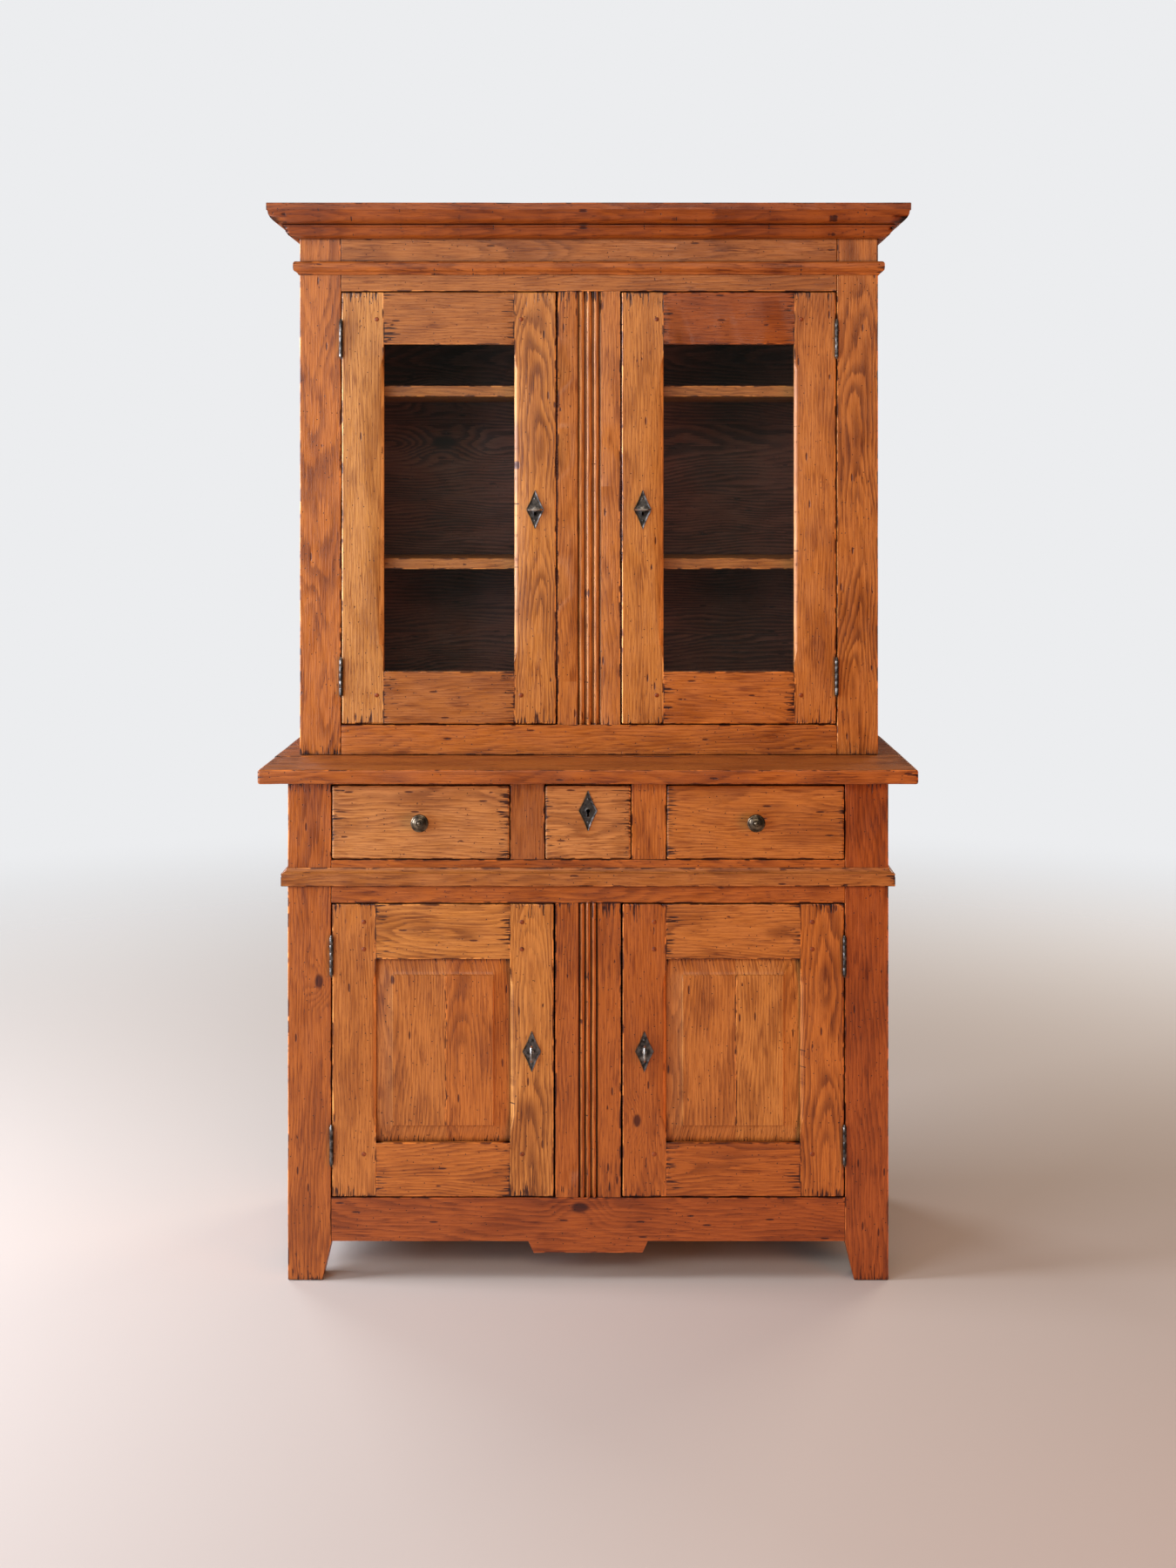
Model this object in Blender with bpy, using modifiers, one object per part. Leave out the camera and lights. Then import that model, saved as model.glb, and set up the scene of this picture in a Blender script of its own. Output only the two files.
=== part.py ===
"""Two-piece oak pantry cabinet: a base with two panelled doors and three drawers under a worktop,
and a shallower upper cabinet with two glazed doors under a cornice.

Frame: origin on the floor under the middle of the bounding box, +X to the right, +Z up, front faces -Y.
All sizes are in metres.
"""

import math

import bmesh
import bpy

# ---------------------------------------------------------------- driving sizes

FIT = 0.0003  # gap between pieces that touch
EPS_LAP = 0.004  # how far joined bodies lap before they are united

BASE_W = 1.104  # across the base posts
DEPTH = 0.490  # the worktop, front to back
TOTAL_H = 1.997  # floor to cornice top

WORKTOP_TOP = 0.943
WORKTOP_T = 0.027
SIDE_OVERHANG = 0.050
FRONT_OVERHANG = 0.033
BACK_SETBACK = 0.005  # worktop and cornice past the two carcasses, at the back

BASE_POST_W = 0.080
BASE_POST_D = 0.045
BACK_POST_W = 0.045
BASE_FRAME_T = 0.028
SIDE_T = 0.022
SIDE_REVEAL = 0.001  # side boards inside the posts' outer face
BOARD_SHORT = 0.0008  # side boards below the tops of their posts
PANEL_RECESS = 0.005

APRON_Z = 0.072  # underside of the bottom rail and of the side boards
DROP_Z = 0.0505  # underside of the apron's centre drop
DROP_HALF_TOP = 0.110
DROP_HALF_BOTTOM = 0.100
FOOT_TAPER = 0.017
BOTTOM_RAIL_TOP = 0.152
MID_RAIL_H = 0.0795
DRAWER_OPEN_H = 0.143  # middle rail to worktop
MULLION_W = 0.123
CENTRE_DRAWER_W = 0.160
DIVIDER_W = 0.063

UPPER_EXTRA_W = 0.008  # the upper carcass past the base posts, in all
UPPER_SETBACK = 0.193  # worktop front edge to the upper carcass front
UPPER_POST_W = 0.079
UPPER_POST_D = 0.035
UPPER_FRAME_T = 0.026
UPPER_BACK_STILE_W = 0.042
UPPER_BACK_STILE_D = 0.030
UPPER_SILL_H = 0.0577  # bottom rail of the upper carcass
CORNICE_H = 0.062
CORNICE_OUT = 0.055
FRIEZE_H = 0.0435  # between neck moulding and cornice
NECK_H = 0.0255
NECK_OUT = 0.0115
TOP_RAIL_H = 0.0313  # below the neck moulding
CARCASS_DROP = 0.012  # the carcass stops this far under the cornice top

DOOR_T = 0.024
DOOR_PROUD = 0.001
DOOR_GAP = 0.002
STILE_W = 0.080
UPPER_RAIL_H = 0.100
LOWER_TOP_RAIL_H = 0.101
LOWER_BOTTOM_RAIL_H = 0.099
CHAMFER = 0.008
CHAMFER_STOP = 0.016  # from the opening's corner to the chamfer's tip
CHAMFER_RUN = 0.034  # length of the tongue

GLASS_T = 0.003
GLASS_LIP = 0.012  # wood in front of the glass
REBATE_W = 0.009
PANEL_SET = 0.42  # door face to the panel's groove, as a share of the door's thickness
PANEL_TONGUE_T = 0.008
PANEL_FIELD_T = 0.016
PANEL_GROOVE_D = 0.010
PANEL_BEVEL_W = 0.031

SHELF_T = 0.021
UPPER_SHELF_AT = 0.7845  # shelf tops, as shares of the upper door opening's height
LOWER_SHELF_AT = 0.3826
BOARD_T = 0.019  # floor, deck and top board
BACK_T = 0.012
HOUSING = 0.007  # depth of the grooves that hold the boards

DRAWER_FRONT_T = 0.020
DRAWER_PROUD = 0.002
DRAWER_HEAD_GAP = 0.0065  # drawer front to worktop
DRAWER_SIDE_T = 0.011
DRAWER_BOTTOM_T = 0.008
DRAWER_TOP_DROP = 0.016  # box sides below the front's top edge
DRAWER_BACK_GAP = 0.022  # behind the box when the drawer is shut

REED_W_UPPER = 0.0129
REED_W_LOWER = 0.0109
REED_GROOVE_W = 0.0036
REED_GROOVE_D = 0.0030
STOP_LAP = 0.012  # how far the mullions' stops reach behind the doors
STOP_T = 0.012
STOP_GAP = 0.0006  # door back to its stop

TENON_T = 0.009
TENON_L = 0.028
TENON_SHOULDER = 0.010

ESC_W = 0.034
ESC_H = 0.075
ESC_T = 0.0014
KEYHOLE_R = 0.0036
KEYHOLE_DROP = 0.011
KEY_R = 0.0024
BOW_W = 0.032
BOW_L = 0.021
BOW_T = 0.0042
KEY_OUT = 0.027  # bow's far end from the door face
BIT_L = 0.0085
BIT_H = 0.008
BOLT_T = 0.007
BOLT_H = 0.014
BOLT_L = 0.052
BOLT_THROW = 0.009
BOLT_CLEAR = 0.0006  # round the bolt in its slot and keep
LOCK_CHAMBER_R = 0.0105
LOCK_DEPTH = 0.007  # wood between the door face and the lock's chamber

HINGE_R = 0.0034
HINGE_H = 0.070
HINGE_OUT = 0.0042  # barrel centre in front of the door face
LEAF_T = 0.0014
LEAF_D = 0.020
LEAF_RECESS = 0.0012
HINGE_INSET_UPPER = 0.090  # hinge centre from the door's end
HINGE_INSET_LOWER = 0.095

KNOB_R = 0.0165
KNOB_OUT = 0.028

# ---------------------------------------------------------------- derived lines

HALF_D = DEPTH / 2
BACK_Y = HALF_D - BACK_SETBACK
BASE_Y = -HALF_D + FRONT_OVERHANG  # base front plane
UPPER_Y = -HALF_D + UPPER_SETBACK  # upper carcass front plane
BASE_HALF = BASE_W / 2
OPEN_HALF = BASE_HALF - BASE_POST_W
UPPER_HALF = BASE_HALF + UPPER_EXTRA_W / 2
UPPER_OPEN_HALF = UPPER_HALF - UPPER_POST_W
WORKTOP_HALF = BASE_HALF + SIDE_OVERHANG
MULLION_HALF = MULLION_W / 2

WORKTOP_BOTTOM = WORKTOP_TOP - WORKTOP_T
BASE_TOP = WORKTOP_BOTTOM - FIT
MID_RAIL_Z1 = WORKTOP_BOTTOM - DRAWER_OPEN_H
MID_RAIL_Z0 = MID_RAIL_Z1 - MID_RAIL_H
UPPER_Z0 = WORKTOP_TOP + FIT
SILL_TOP = UPPER_Z0 + UPPER_SILL_H
CORNICE_Z0 = TOTAL_H - CORNICE_H
NECK_Z1 = CORNICE_Z0 - FRIEZE_H
NECK_Z0 = NECK_Z1 - NECK_H
HEAD_Z = NECK_Z0 - TOP_RAIL_H  # top of the upper door opening
UPPER_TOP_Z = TOTAL_H - CARCASS_DROP
UPPER_SHELF_TOP = SILL_TOP + UPPER_SHELF_AT * (HEAD_Z - SILL_TOP)
LOWER_SHELF_TOP = SILL_TOP + LOWER_SHELF_AT * (HEAD_Z - SILL_TOP)

DIV_X0 = CENTRE_DRAWER_W / 2
DIV_X1 = DIV_X0 + DIVIDER_W
SIDE_IN = BASE_HALF - SIDE_REVEAL - SIDE_T  # inner face of the base side boards
UPPER_SIDE_IN = UPPER_HALF - SIDE_REVEAL - SIDE_T
BACK_FRONT_Y = BACK_Y - BACK_T - FIT  # what stands against the back boards

# ---------------------------------------------------------------- scene and materials

for old in list(bpy.data.objects):
    bpy.data.objects.remove(old, do_unlink=True)

PARTS = bpy.data.collections.new("pantry_cabinet")
CUTTERS = bpy.data.collections.new("cutters")
bpy.context.scene.collection.children.link(PARTS)
bpy.context.scene.collection.children.link(CUTTERS)

OAK = (0.47, 0.20, 0.065)
OAK_LIGHT = (0.55, 0.26, 0.09)
OAK_RED = (0.41, 0.155, 0.05)
OAK_DARK = (0.055, 0.033, 0.024)
OAK_PLAIN = (0.33, 0.20, 0.11)
IRON = (0.035, 0.03, 0.028)
GLASS = (0.80, 0.86, 0.84)


def material(name, colour, roughness, metallic):
    made = bpy.data.materials.new(name)
    made.use_nodes = True
    made.diffuse_color = (*colour, 1.0)
    shader = made.node_tree.nodes["Principled BSDF"]
    shader.inputs["Base Color"].default_value = (*colour, 1.0)
    shader.inputs["Roughness"].default_value = roughness
    shader.inputs["Metallic"].default_value = metallic
    return made


LOOKS = {
    "oak": (OAK, 0.42, 0.0),
    "light": (OAK_LIGHT, 0.42, 0.0),
    "red": (OAK_RED, 0.42, 0.0),
    "dark": (OAK_DARK, 0.60, 0.0),
    "plain": (OAK_PLAIN, 0.60, 0.0),
    "iron": (IRON, 0.45, 0.9),
    "glass": (GLASS, 0.05, 0.0),
}

# ---------------------------------------------------------------- building blocks


def place(obj, look, origin=(0.0, 0.0, 0.0)):
    """Links a finished node, gives it a material of its own and puts its origin where it turns."""
    PARTS.objects.link(obj)
    obj.data.materials.append(material(obj.name + "_finish", *LOOKS[look]))
    set_origin(obj, origin)
    return obj


def set_origin(obj, origin):
    shift = [a - b for a, b in zip(obj.location, origin)]
    if obj.type == "MESH":
        for vertex in obj.data.vertices:
            vertex.co.x += shift[0]
            vertex.co.y += shift[1]
            vertex.co.z += shift[2]
        obj.location = origin


def add_box(bm, x0, x1, y0, y1, z0, z1):
    made = bmesh.ops.create_cube(bm, size=1.0)["verts"]
    for vertex in made:
        vertex.co.x = x0 if vertex.co.x < 0 else x1
        vertex.co.y = y0 if vertex.co.y < 0 else y1
        vertex.co.z = z0 if vertex.co.z < 0 else z1
    return made


def mesh_object(name, bm):
    mesh = bpy.data.meshes.new(name)
    bm.normal_update()
    bmesh.ops.recalc_face_normals(bm, faces=bm.faces)
    bm.to_mesh(mesh)
    bm.free()
    return bpy.data.objects.new(name, mesh)


def box(name, x0, x1, y0, y1, z0, z1):
    bm = bmesh.new()
    add_box(bm, min(x0, x1), max(x0, x1), y0, y1, z0, z1)
    return mesh_object(name, bm)


def bevel(obj, width, segments=1):
    modifier = obj.modifiers.new("arris", "BEVEL")
    modifier.width = width
    modifier.segments = segments
    modifier.limit_method = "ANGLE"
    modifier.angle_limit = math.radians(40)
    return obj


def boolean(obj, tool, operation):
    CUTTERS.objects.link(tool)
    tool.hide_render = True
    tool.display_type = "WIRE"
    modifier = obj.modifiers.new(tool.name, "BOOLEAN")
    modifier.solver = "EXACT"
    modifier.operation = operation
    modifier.object = tool
    return obj


def cut(obj, tool):
    return boolean(obj, tool, "DIFFERENCE")


def join(obj, tool):
    return boolean(obj, tool, "UNION")


def boxes(name, spans):
    """One tool of several boxes that stand clear of each other."""
    bm = bmesh.new()
    for x0, x1, y0, y1, z0, z1 in spans:
        add_box(bm, min(x0, x1), max(x0, x1), min(y0, y1), max(y0, y1), z0, z1)
    return mesh_object(name, bm)


def cylinder_y(name, x, z, y0, y1, radius, segments=24):
    bm = bmesh.new()
    bmesh.ops.create_cone(
        bm, cap_ends=True, segments=segments, radius1=radius, radius2=radius, depth=y1 - y0
    )
    for vertex in bm.verts:
        vertex.co = (x + vertex.co.x, (y0 + y1) / 2 + vertex.co.z, z - vertex.co.y)
    return mesh_object(name, bm)


def turned(name, profile, segments):
    """A piece turned about its own Z axis from (radius, height) pairs that start and end on the axis."""
    mesh = bpy.data.meshes.new(name)
    mesh.from_pydata(
        [(r, 0.0, h) for r, h in profile], [(i, i + 1) for i in range(len(profile) - 1)], []
    )
    obj = bpy.data.objects.new(name, mesh)
    modifier = obj.modifiers.new("turning", "SCREW")
    modifier.axis = "Z"
    modifier.angle = math.tau
    modifier.steps = segments
    modifier.render_steps = segments
    modifier.use_merge_vertices = True
    modifier.merge_threshold = 0.00001
    modifier.use_normal_calculate = True
    return obj


def outline(name, splines, half_thickness):
    """A flat plate in the XZ plane from closed outlines: the first is the edge and the others are holes."""
    curve = bpy.data.curves.new(name, "CURVE")
    curve.dimensions = "2D"
    curve.fill_mode = "BOTH"
    curve.extrude = half_thickness
    for points in splines:
        spline = curve.splines.new("POLY")
        spline.points.add(len(points) - 1)
        for slot, (x, z) in zip(spline.points, points):
            slot.co = (x, z, 0.0, 1.0)
        spline.use_cyclic_u = True
    obj = bpy.data.objects.new(name, curve)
    obj.rotation_euler = (math.radians(90), 0.0, 0.0)
    return obj


def arc(cx, cz, radius, start, end, steps):
    """Points on an arc from start to end, in degrees."""
    angles = [math.radians(start + (end - start) * i / steps) for i in range(steps + 1)]
    return [(cx + radius * math.cos(a), cz + radius * math.sin(a)) for a in angles]


def planted_moulding(name, profile, half_width, front_y, back_y):
    """A moulding mitred round the front and both sides: profile holds (projection, height) pairs in order.

    Every profile point is carried round the plan outline, so the mitres come out at 45 degrees.
    """
    bm = bmesh.new()
    stations = ((-1, 0), (-1, 1), (1, 1), (1, 0))
    rings = []
    for side, at_front in stations:
        ring = []
        for out, height in profile:
            y = front_y - out if at_front else back_y
            ring.append(bm.verts.new((side * (half_width + out), y, height)))
        rings.append(ring)
    count = len(profile)
    for a, b in zip(rings, rings[1:]):
        for i in range(count):
            j = (i + 1) % count
            bm.faces.new((a[i], a[j], b[j], b[i]))
    bm.faces.new(rings[0])
    bm.faces.new(rings[-1])
    bmesh.ops.triangulate(bm, faces=[f for f in bm.faces if len(f.verts) > 4])
    return mesh_object(name, bm)


def raised_field(name, x0, x1, y_back, y_front, z0, z1, slope):
    """A block whose front face is smaller than its back by the slope on every side; it faces -Y."""
    bm = bmesh.new()
    made = add_box(bm, x0, x1, y_front, y_back, z0, z1)
    for vertex in made:
        if vertex.co.y < (y_back + y_front) / 2:
            vertex.co.x += slope if vertex.co.x < (x0 + x1) / 2 else -slope
            vertex.co.z += slope if vertex.co.z < (z0 + z1) / 2 else -slope
    return mesh_object(name, bm)


def stopped_chamfer(bm, x, y, z0, z1, leg, run):
    """A square bar turned 45 degrees about an upright arris, drawn to a point at both ends."""
    reach = leg
    corners = ((-reach, 0), (0, -reach), (reach, 0), (0, reach))
    low = [bm.verts.new((x + dx, y + dy, z0 + run)) for dx, dy in corners]
    high = [bm.verts.new((x + dx, y + dy, z1 - run)) for dx, dy in corners]
    bottom = bm.verts.new((x, y, z0))
    top = bm.verts.new((x, y, z1))
    for i in range(4):
        j = (i + 1) % 4
        bm.faces.new((low[i], low[j], high[j], high[i]))
        bm.faces.new((bottom, low[j], low[i]))
        bm.faces.new((top, high[i], high[j]))


def keyhole_tool(name, x, z, y0, y1, radius, drop):
    """A round hole over a slot, through a door or drawer front."""
    hole = []
    half = radius * 0.55
    turn = math.degrees(math.asin(half / radius))
    hole += arc(x, z, radius, -90 + turn, 270 - turn, 16)
    hole += [(x - half, z - drop), (x + half, z - drop)]
    bm = bmesh.new()
    front = [bm.verts.new((px, y0, pz)) for px, pz in hole]
    back = [bm.verts.new((px, y1, pz)) for px, pz in hole]
    bm.faces.new(front)
    bm.faces.new(back)
    for i in range(len(hole)):
        j = (i + 1) % len(hole)
        bm.faces.new((front[i], front[j], back[j], back[i]))
    return mesh_object(name, bm)


def mirror_x(span, side):
    """A box span given for the right-hand side, carried to the side asked for."""
    x0, x1, *rest = span
    return (min(side * x0, side * x1), max(side * x0, side * x1), *rest)


# ---------------------------------------------------------------- carcass sides


def rail_tenon(x0, x1, mid_y, z0, z1):
    return (x0, x1, mid_y - TENON_T / 2, mid_y + TENON_T / 2, z0 + TENON_SHOULDER, z1 - TENON_SHOULDER)


def loose(span):
    """The mortise for a tenon: the same box with the fit all round."""
    x0, x1, y0, y1, z0, z1 = span
    return (x0 - FIT, x1 + FIT, y0 - FIT, y1 + FIT, z0 - FIT, z1 + FIT)


BASE_TENON_Y = BASE_Y + BASE_FRAME_T / 2
UPPER_TENON_Y = UPPER_Y + UPPER_FRAME_T / 2
BASE_RAIL_TENONS = [
    rail_tenon(OPEN_HALF - EPS_LAP, OPEN_HALF + TENON_L, BASE_TENON_Y, z0, z1)
    for z0, z1 in ((APRON_Z, BOTTOM_RAIL_TOP), (MID_RAIL_Z0, MID_RAIL_Z1))
]
UPPER_RAIL_TENONS = [
    rail_tenon(UPPER_OPEN_HALF - EPS_LAP, UPPER_OPEN_HALF + TENON_L, UPPER_TENON_Y, z0, z1)
    for z0, z1 in ((UPPER_Z0, SILL_TOP), (HEAD_Z, UPPER_TOP_Z))
]


def hinge_levels(door_z0, door_z1, inset):
    return (door_z0 + inset, door_z1 - inset)


LOWER_DOOR_Z = (BOTTOM_RAIL_TOP + DOOR_GAP, MID_RAIL_Z0 - DOOR_GAP)
UPPER_DOOR_Z = (SILL_TOP + DOOR_GAP, HEAD_Z - DOOR_GAP)
LOWER_HINGES = hinge_levels(*LOWER_DOOR_Z, HINGE_INSET_LOWER)
UPPER_HINGES = hinge_levels(*UPPER_DOOR_Z, HINGE_INSET_UPPER)


def leaf_recesses(side, edge, face_y, levels):
    """Shallow seats for the hinge leaves in a post's inner edge, open to the front."""
    spans = []
    for level in levels:
        spans.append(
            mirror_x(
                (
                    edge - 0.001,
                    edge + LEAF_RECESS,
                    face_y - 0.002,
                    face_y + LEAF_D + FIT,
                    level - HINGE_H / 2 - FIT,
                    level + HINGE_H / 2 + FIT,
                ),
                side,
            )
        )
    return spans


def housing(inner_x, z_top, thickness, y0, y1):
    """A groove across a side board for a shelf, floor, deck or top board."""
    return (inner_x - 0.004, inner_x + HOUSING, y0 - FIT, y1 + FIT, z_top - thickness - FIT, z_top + FIT)


POST_BACK_GAP = 0.001  # boards stand this far behind the posts
STOP_BACK = DOOR_T - DOOR_PROUD + STOP_GAP + STOP_T
SHELF_Y0 = UPPER_Y + max(UPPER_FRAME_T, UPPER_POST_D, STOP_BACK) + POST_BACK_GAP
FLOOR_TOP = BOTTOM_RAIL_TOP - 0.0005
DECK_TOP = MID_RAIL_Z1
DECK_Y0 = BASE_Y + BASE_FRAME_T + FIT
TOP_BOARD_Z = UPPER_TOP_Z - 0.004
TOP_BOARD_Y0 = UPPER_Y + UPPER_FRAME_T + FIT


def base_side(name, side):
    post = box(name, side * OPEN_HALF, side * BASE_HALF, BASE_Y, BASE_Y + BASE_POST_D, 0.0, BASE_TOP)
    bevel(post, 0.0015)
    board_x1 = BASE_HALF - SIDE_REVEAL
    board = (SIDE_IN, board_x1, BASE_Y + BASE_POST_D - EPS_LAP, BACK_Y - BACK_POST_W + EPS_LAP)
    join(post, boxes(name + "_board", [mirror_x((*board, APRON_Z, BASE_TOP - BOARD_SHORT), side)]))
    back = bevel(
        box(
            name + "_back_post",
            side * (BASE_HALF - BACK_POST_W),
            side * BASE_HALF,
            BACK_Y - BACK_POST_W,
            BACK_Y,
            0.0,
            BASE_TOP,
        ),
        0.0015,
    )
    join(post, back)
    # Tapered inner edges of both feet.
    bm = bmesh.new()
    for y0, y1, inner in (
        (BASE_Y - 0.01, BASE_Y + BASE_POST_D + 0.01, OPEN_HALF),
        (BACK_Y - BACK_POST_W - 0.01, BACK_Y + 0.01, BASE_HALF - BACK_POST_W),
    ):
        wedge = add_box(bm, inner - 0.03, inner, y0, y1, -0.02, APRON_Z)
        for vertex in wedge:
            if vertex.co.x > inner - 0.001 and vertex.co.z < 0:
                vertex.co.x += FOOT_TAPER * (APRON_Z + 0.02) / APRON_Z
            vertex.co.x *= side
    cut(post, mesh_object(name + "_taper", bm))
    spans = [mirror_x(loose(t), side) for t in BASE_RAIL_TENONS]
    spans += leaf_recesses(side, OPEN_HALF, BASE_Y, LOWER_HINGES)
    cut(post, boxes(name + "_mortises", spans))
    wide_y = (BASE_Y + BASE_POST_D + POST_BACK_GAP, BACK_Y - BACK_POST_W - POST_BACK_GAP)
    grooves = [housing(SIDE_IN, top, BOARD_T, *wide_y) for top in (FLOOR_TOP, DECK_TOP)]
    cut(post, boxes(name + "_housings", [mirror_x(g, side) for g in grooves]))
    rebate = (
        BASE_HALF - BACK_POST_W - 0.004,
        BASE_HALF - BACK_POST_W + 0.016,
        BACK_Y - BACK_T - FIT,
        BACK_Y + 0.004,
        APRON_Z - FIT,
        BASE_TOP + 0.004,
    )
    cut(post, boxes(name + "_rebate", [mirror_x(rebate, side)]))
    panel_y = (BASE_Y + BASE_POST_D + 0.035, BACK_Y - BACK_POST_W - 0.035)
    panels = [(BOTTOM_RAIL_TOP + 0.010, MID_RAIL_Z0 - 0.010)]
    side_panels(post, side, BASE_HALF - SIDE_REVEAL, panel_y, panels)
    return place(post, "red" if side > 0 else "oak")


def side_panels(obj, side, face_x, y_span, z_spans):
    """Sunk panels with raised fields in the outer face of a side."""
    sunk = []
    bm = bmesh.new()
    slope = 0.022
    for z0, z1 in z_spans:
        sunk.append(mirror_x((face_x - PANEL_RECESS, face_x + 0.004, *y_span, z0, z1), side))
        made = add_box(
            bm,
            face_x - PANEL_RECESS - 0.003,
            face_x - 0.0015,
            y_span[0] + 0.010,
            y_span[1] - 0.010,
            z0 + 0.010,
            z1 - 0.010,
        )
        for vertex in made:
            if vertex.co.x > face_x - PANEL_RECESS:
                vertex.co.y += slope if vertex.co.y < (y_span[0] + y_span[1]) / 2 else -slope
                vertex.co.z += slope if vertex.co.z < (z0 + z1) / 2 else -slope
            vertex.co.x *= side
    cut(obj, boxes(obj.name + "_sunk", sunk))
    join(obj, mesh_object(obj.name + "_fields", bm))


def upper_side(name, side):
    post_back = UPPER_Y + UPPER_POST_D
    post = box(name, side * UPPER_OPEN_HALF, side * UPPER_HALF, UPPER_Y, post_back, UPPER_Z0, UPPER_TOP_Z)
    bevel(post, 0.0015)
    board = (
        UPPER_SIDE_IN,
        UPPER_HALF - SIDE_REVEAL,
        UPPER_Y + UPPER_POST_D - EPS_LAP,
        BACK_Y - UPPER_BACK_STILE_D + EPS_LAP,
        UPPER_Z0 + BOARD_SHORT,
        UPPER_TOP_Z - BOARD_SHORT,
    )
    join(post, boxes(name + "_board", [mirror_x(board, side)]))
    back = box(
        name + "_back_stile",
        side * (UPPER_HALF - UPPER_BACK_STILE_W),
        side * UPPER_HALF,
        BACK_Y - UPPER_BACK_STILE_D,
        BACK_Y,
        UPPER_Z0,
        UPPER_TOP_Z,
    )
    join(post, bevel(back, 0.0015))
    spans = [mirror_x(loose(t), side) for t in UPPER_RAIL_TENONS]
    spans += leaf_recesses(side, UPPER_OPEN_HALF, UPPER_Y, UPPER_HINGES)
    cut(post, boxes(name + "_mortises", spans))
    stile_y = BACK_Y - UPPER_BACK_STILE_D - POST_BACK_GAP
    shelf_tops = (UPPER_SHELF_TOP, LOWER_SHELF_TOP)
    grooves = [housing(UPPER_SIDE_IN, top, SHELF_T, SHELF_Y0, stile_y) for top in shelf_tops]
    grooves.append(housing(UPPER_SIDE_IN, TOP_BOARD_Z, BOARD_T, post_back + POST_BACK_GAP, stile_y))
    cut(post, boxes(name + "_housings", [mirror_x(g, side) for g in grooves]))
    rebate = (
        UPPER_HALF - UPPER_BACK_STILE_W - 0.004,
        UPPER_HALF - UPPER_BACK_STILE_W + 0.016,
        BACK_Y - BACK_T - FIT,
        BACK_Y + 0.004,
        UPPER_Z0 - 0.004,
        UPPER_TOP_Z + 0.004,
    )
    cut(post, boxes(name + "_rebate", [mirror_x(rebate, side)]))
    panel_y = (UPPER_Y + UPPER_POST_D + 0.030, BACK_Y - UPPER_BACK_STILE_D - 0.030)
    middle = (SILL_TOP + HEAD_Z) / 2
    panels = [(SILL_TOP + 0.010, middle - 0.035), (middle + 0.035, HEAD_Z - 0.010)]
    side_panels(post, side, UPPER_HALF - SIDE_REVEAL, panel_y, panels)
    return place(post, "red" if side > 0 else "light")


base_side("base_side_left", -1)
base_side("base_side_right", 1)
upper_side("upper_side_left", -1)
upper_side("upper_side_right", 1)

# ---------------------------------------------------------------- base frame


def both_sides(spans):
    return [mirror_x(s, side) for s in spans for side in (-1, 1)]


def upright_tenon(half_width, mid_y, z0, z1):
    return (-half_width, half_width, mid_y - TENON_T / 2, mid_y + TENON_T / 2, z0, z1)


def moved(span, dx):
    x0, x1, *rest = span
    return (x0 + dx, x1 + dx, *rest)


MULLION_TENON_HALF = MULLION_HALF - 0.012
UPRIGHT_TENON_L = 0.018
BOTTOM_RAIL_MULLION = upright_tenon(
    MULLION_TENON_HALF, BASE_TENON_Y, BOTTOM_RAIL_TOP - UPRIGHT_TENON_L, BOTTOM_RAIL_TOP + EPS_LAP
)
MID_RAIL_MULLION = upright_tenon(
    MULLION_TENON_HALF, BASE_TENON_Y, MID_RAIL_Z0 - EPS_LAP, MID_RAIL_Z0 + UPRIGHT_TENON_L
)
SILL_MULLION = upright_tenon(
    MULLION_TENON_HALF, UPPER_TENON_Y, SILL_TOP - UPRIGHT_TENON_L, SILL_TOP + EPS_LAP
)
HEAD_MULLION = upright_tenon(MULLION_TENON_HALF, UPPER_TENON_Y, HEAD_Z - EPS_LAP, HEAD_Z + UPRIGHT_TENON_L)
DIVIDER_TENON_HALF = DIVIDER_W / 2 - 0.009
DIVIDER_FOOT = upright_tenon(
    DIVIDER_TENON_HALF, BASE_TENON_Y, MID_RAIL_Z1 - UPRIGHT_TENON_L, MID_RAIL_Z1 + EPS_LAP
)
DIVIDER_HEAD = upright_tenon(
    DIVIDER_TENON_HALF, BASE_TENON_Y, BASE_TOP - EPS_LAP, WORKTOP_BOTTOM + WORKTOP_T * 0.45
)
DIVIDER_MID = (DIV_X0 + DIV_X1) / 2

RAIL_END = OPEN_HALF - FIT
bottom_rail = box(
    "base_bottom_rail", -RAIL_END, RAIL_END, BASE_Y, BASE_Y + BASE_FRAME_T, APRON_Z, BOTTOM_RAIL_TOP
)
bm = bmesh.new()
for corner in add_box(
    bm,
    -DROP_HALF_BOTTOM,
    DROP_HALF_BOTTOM,
    BASE_Y + 0.0002,
    BASE_Y + BASE_FRAME_T - 0.0002,
    DROP_Z,
    APRON_Z + EPS_LAP,
):
    if corner.co.z > APRON_Z:
        widen = (DROP_HALF_TOP - DROP_HALF_BOTTOM) * (APRON_Z + EPS_LAP - DROP_Z) / (APRON_Z - DROP_Z)
        corner.co.x += math.copysign(widen, corner.co.x)
join(bottom_rail, mesh_object("apron_drop", bm))
join(bottom_rail, boxes("bottom_rail_tenons", both_sides(BASE_RAIL_TENONS[:1])))
cut(bottom_rail, boxes("bottom_rail_mortise", [loose(BOTTOM_RAIL_MULLION)]))
place(bottom_rail, "oak")

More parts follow.
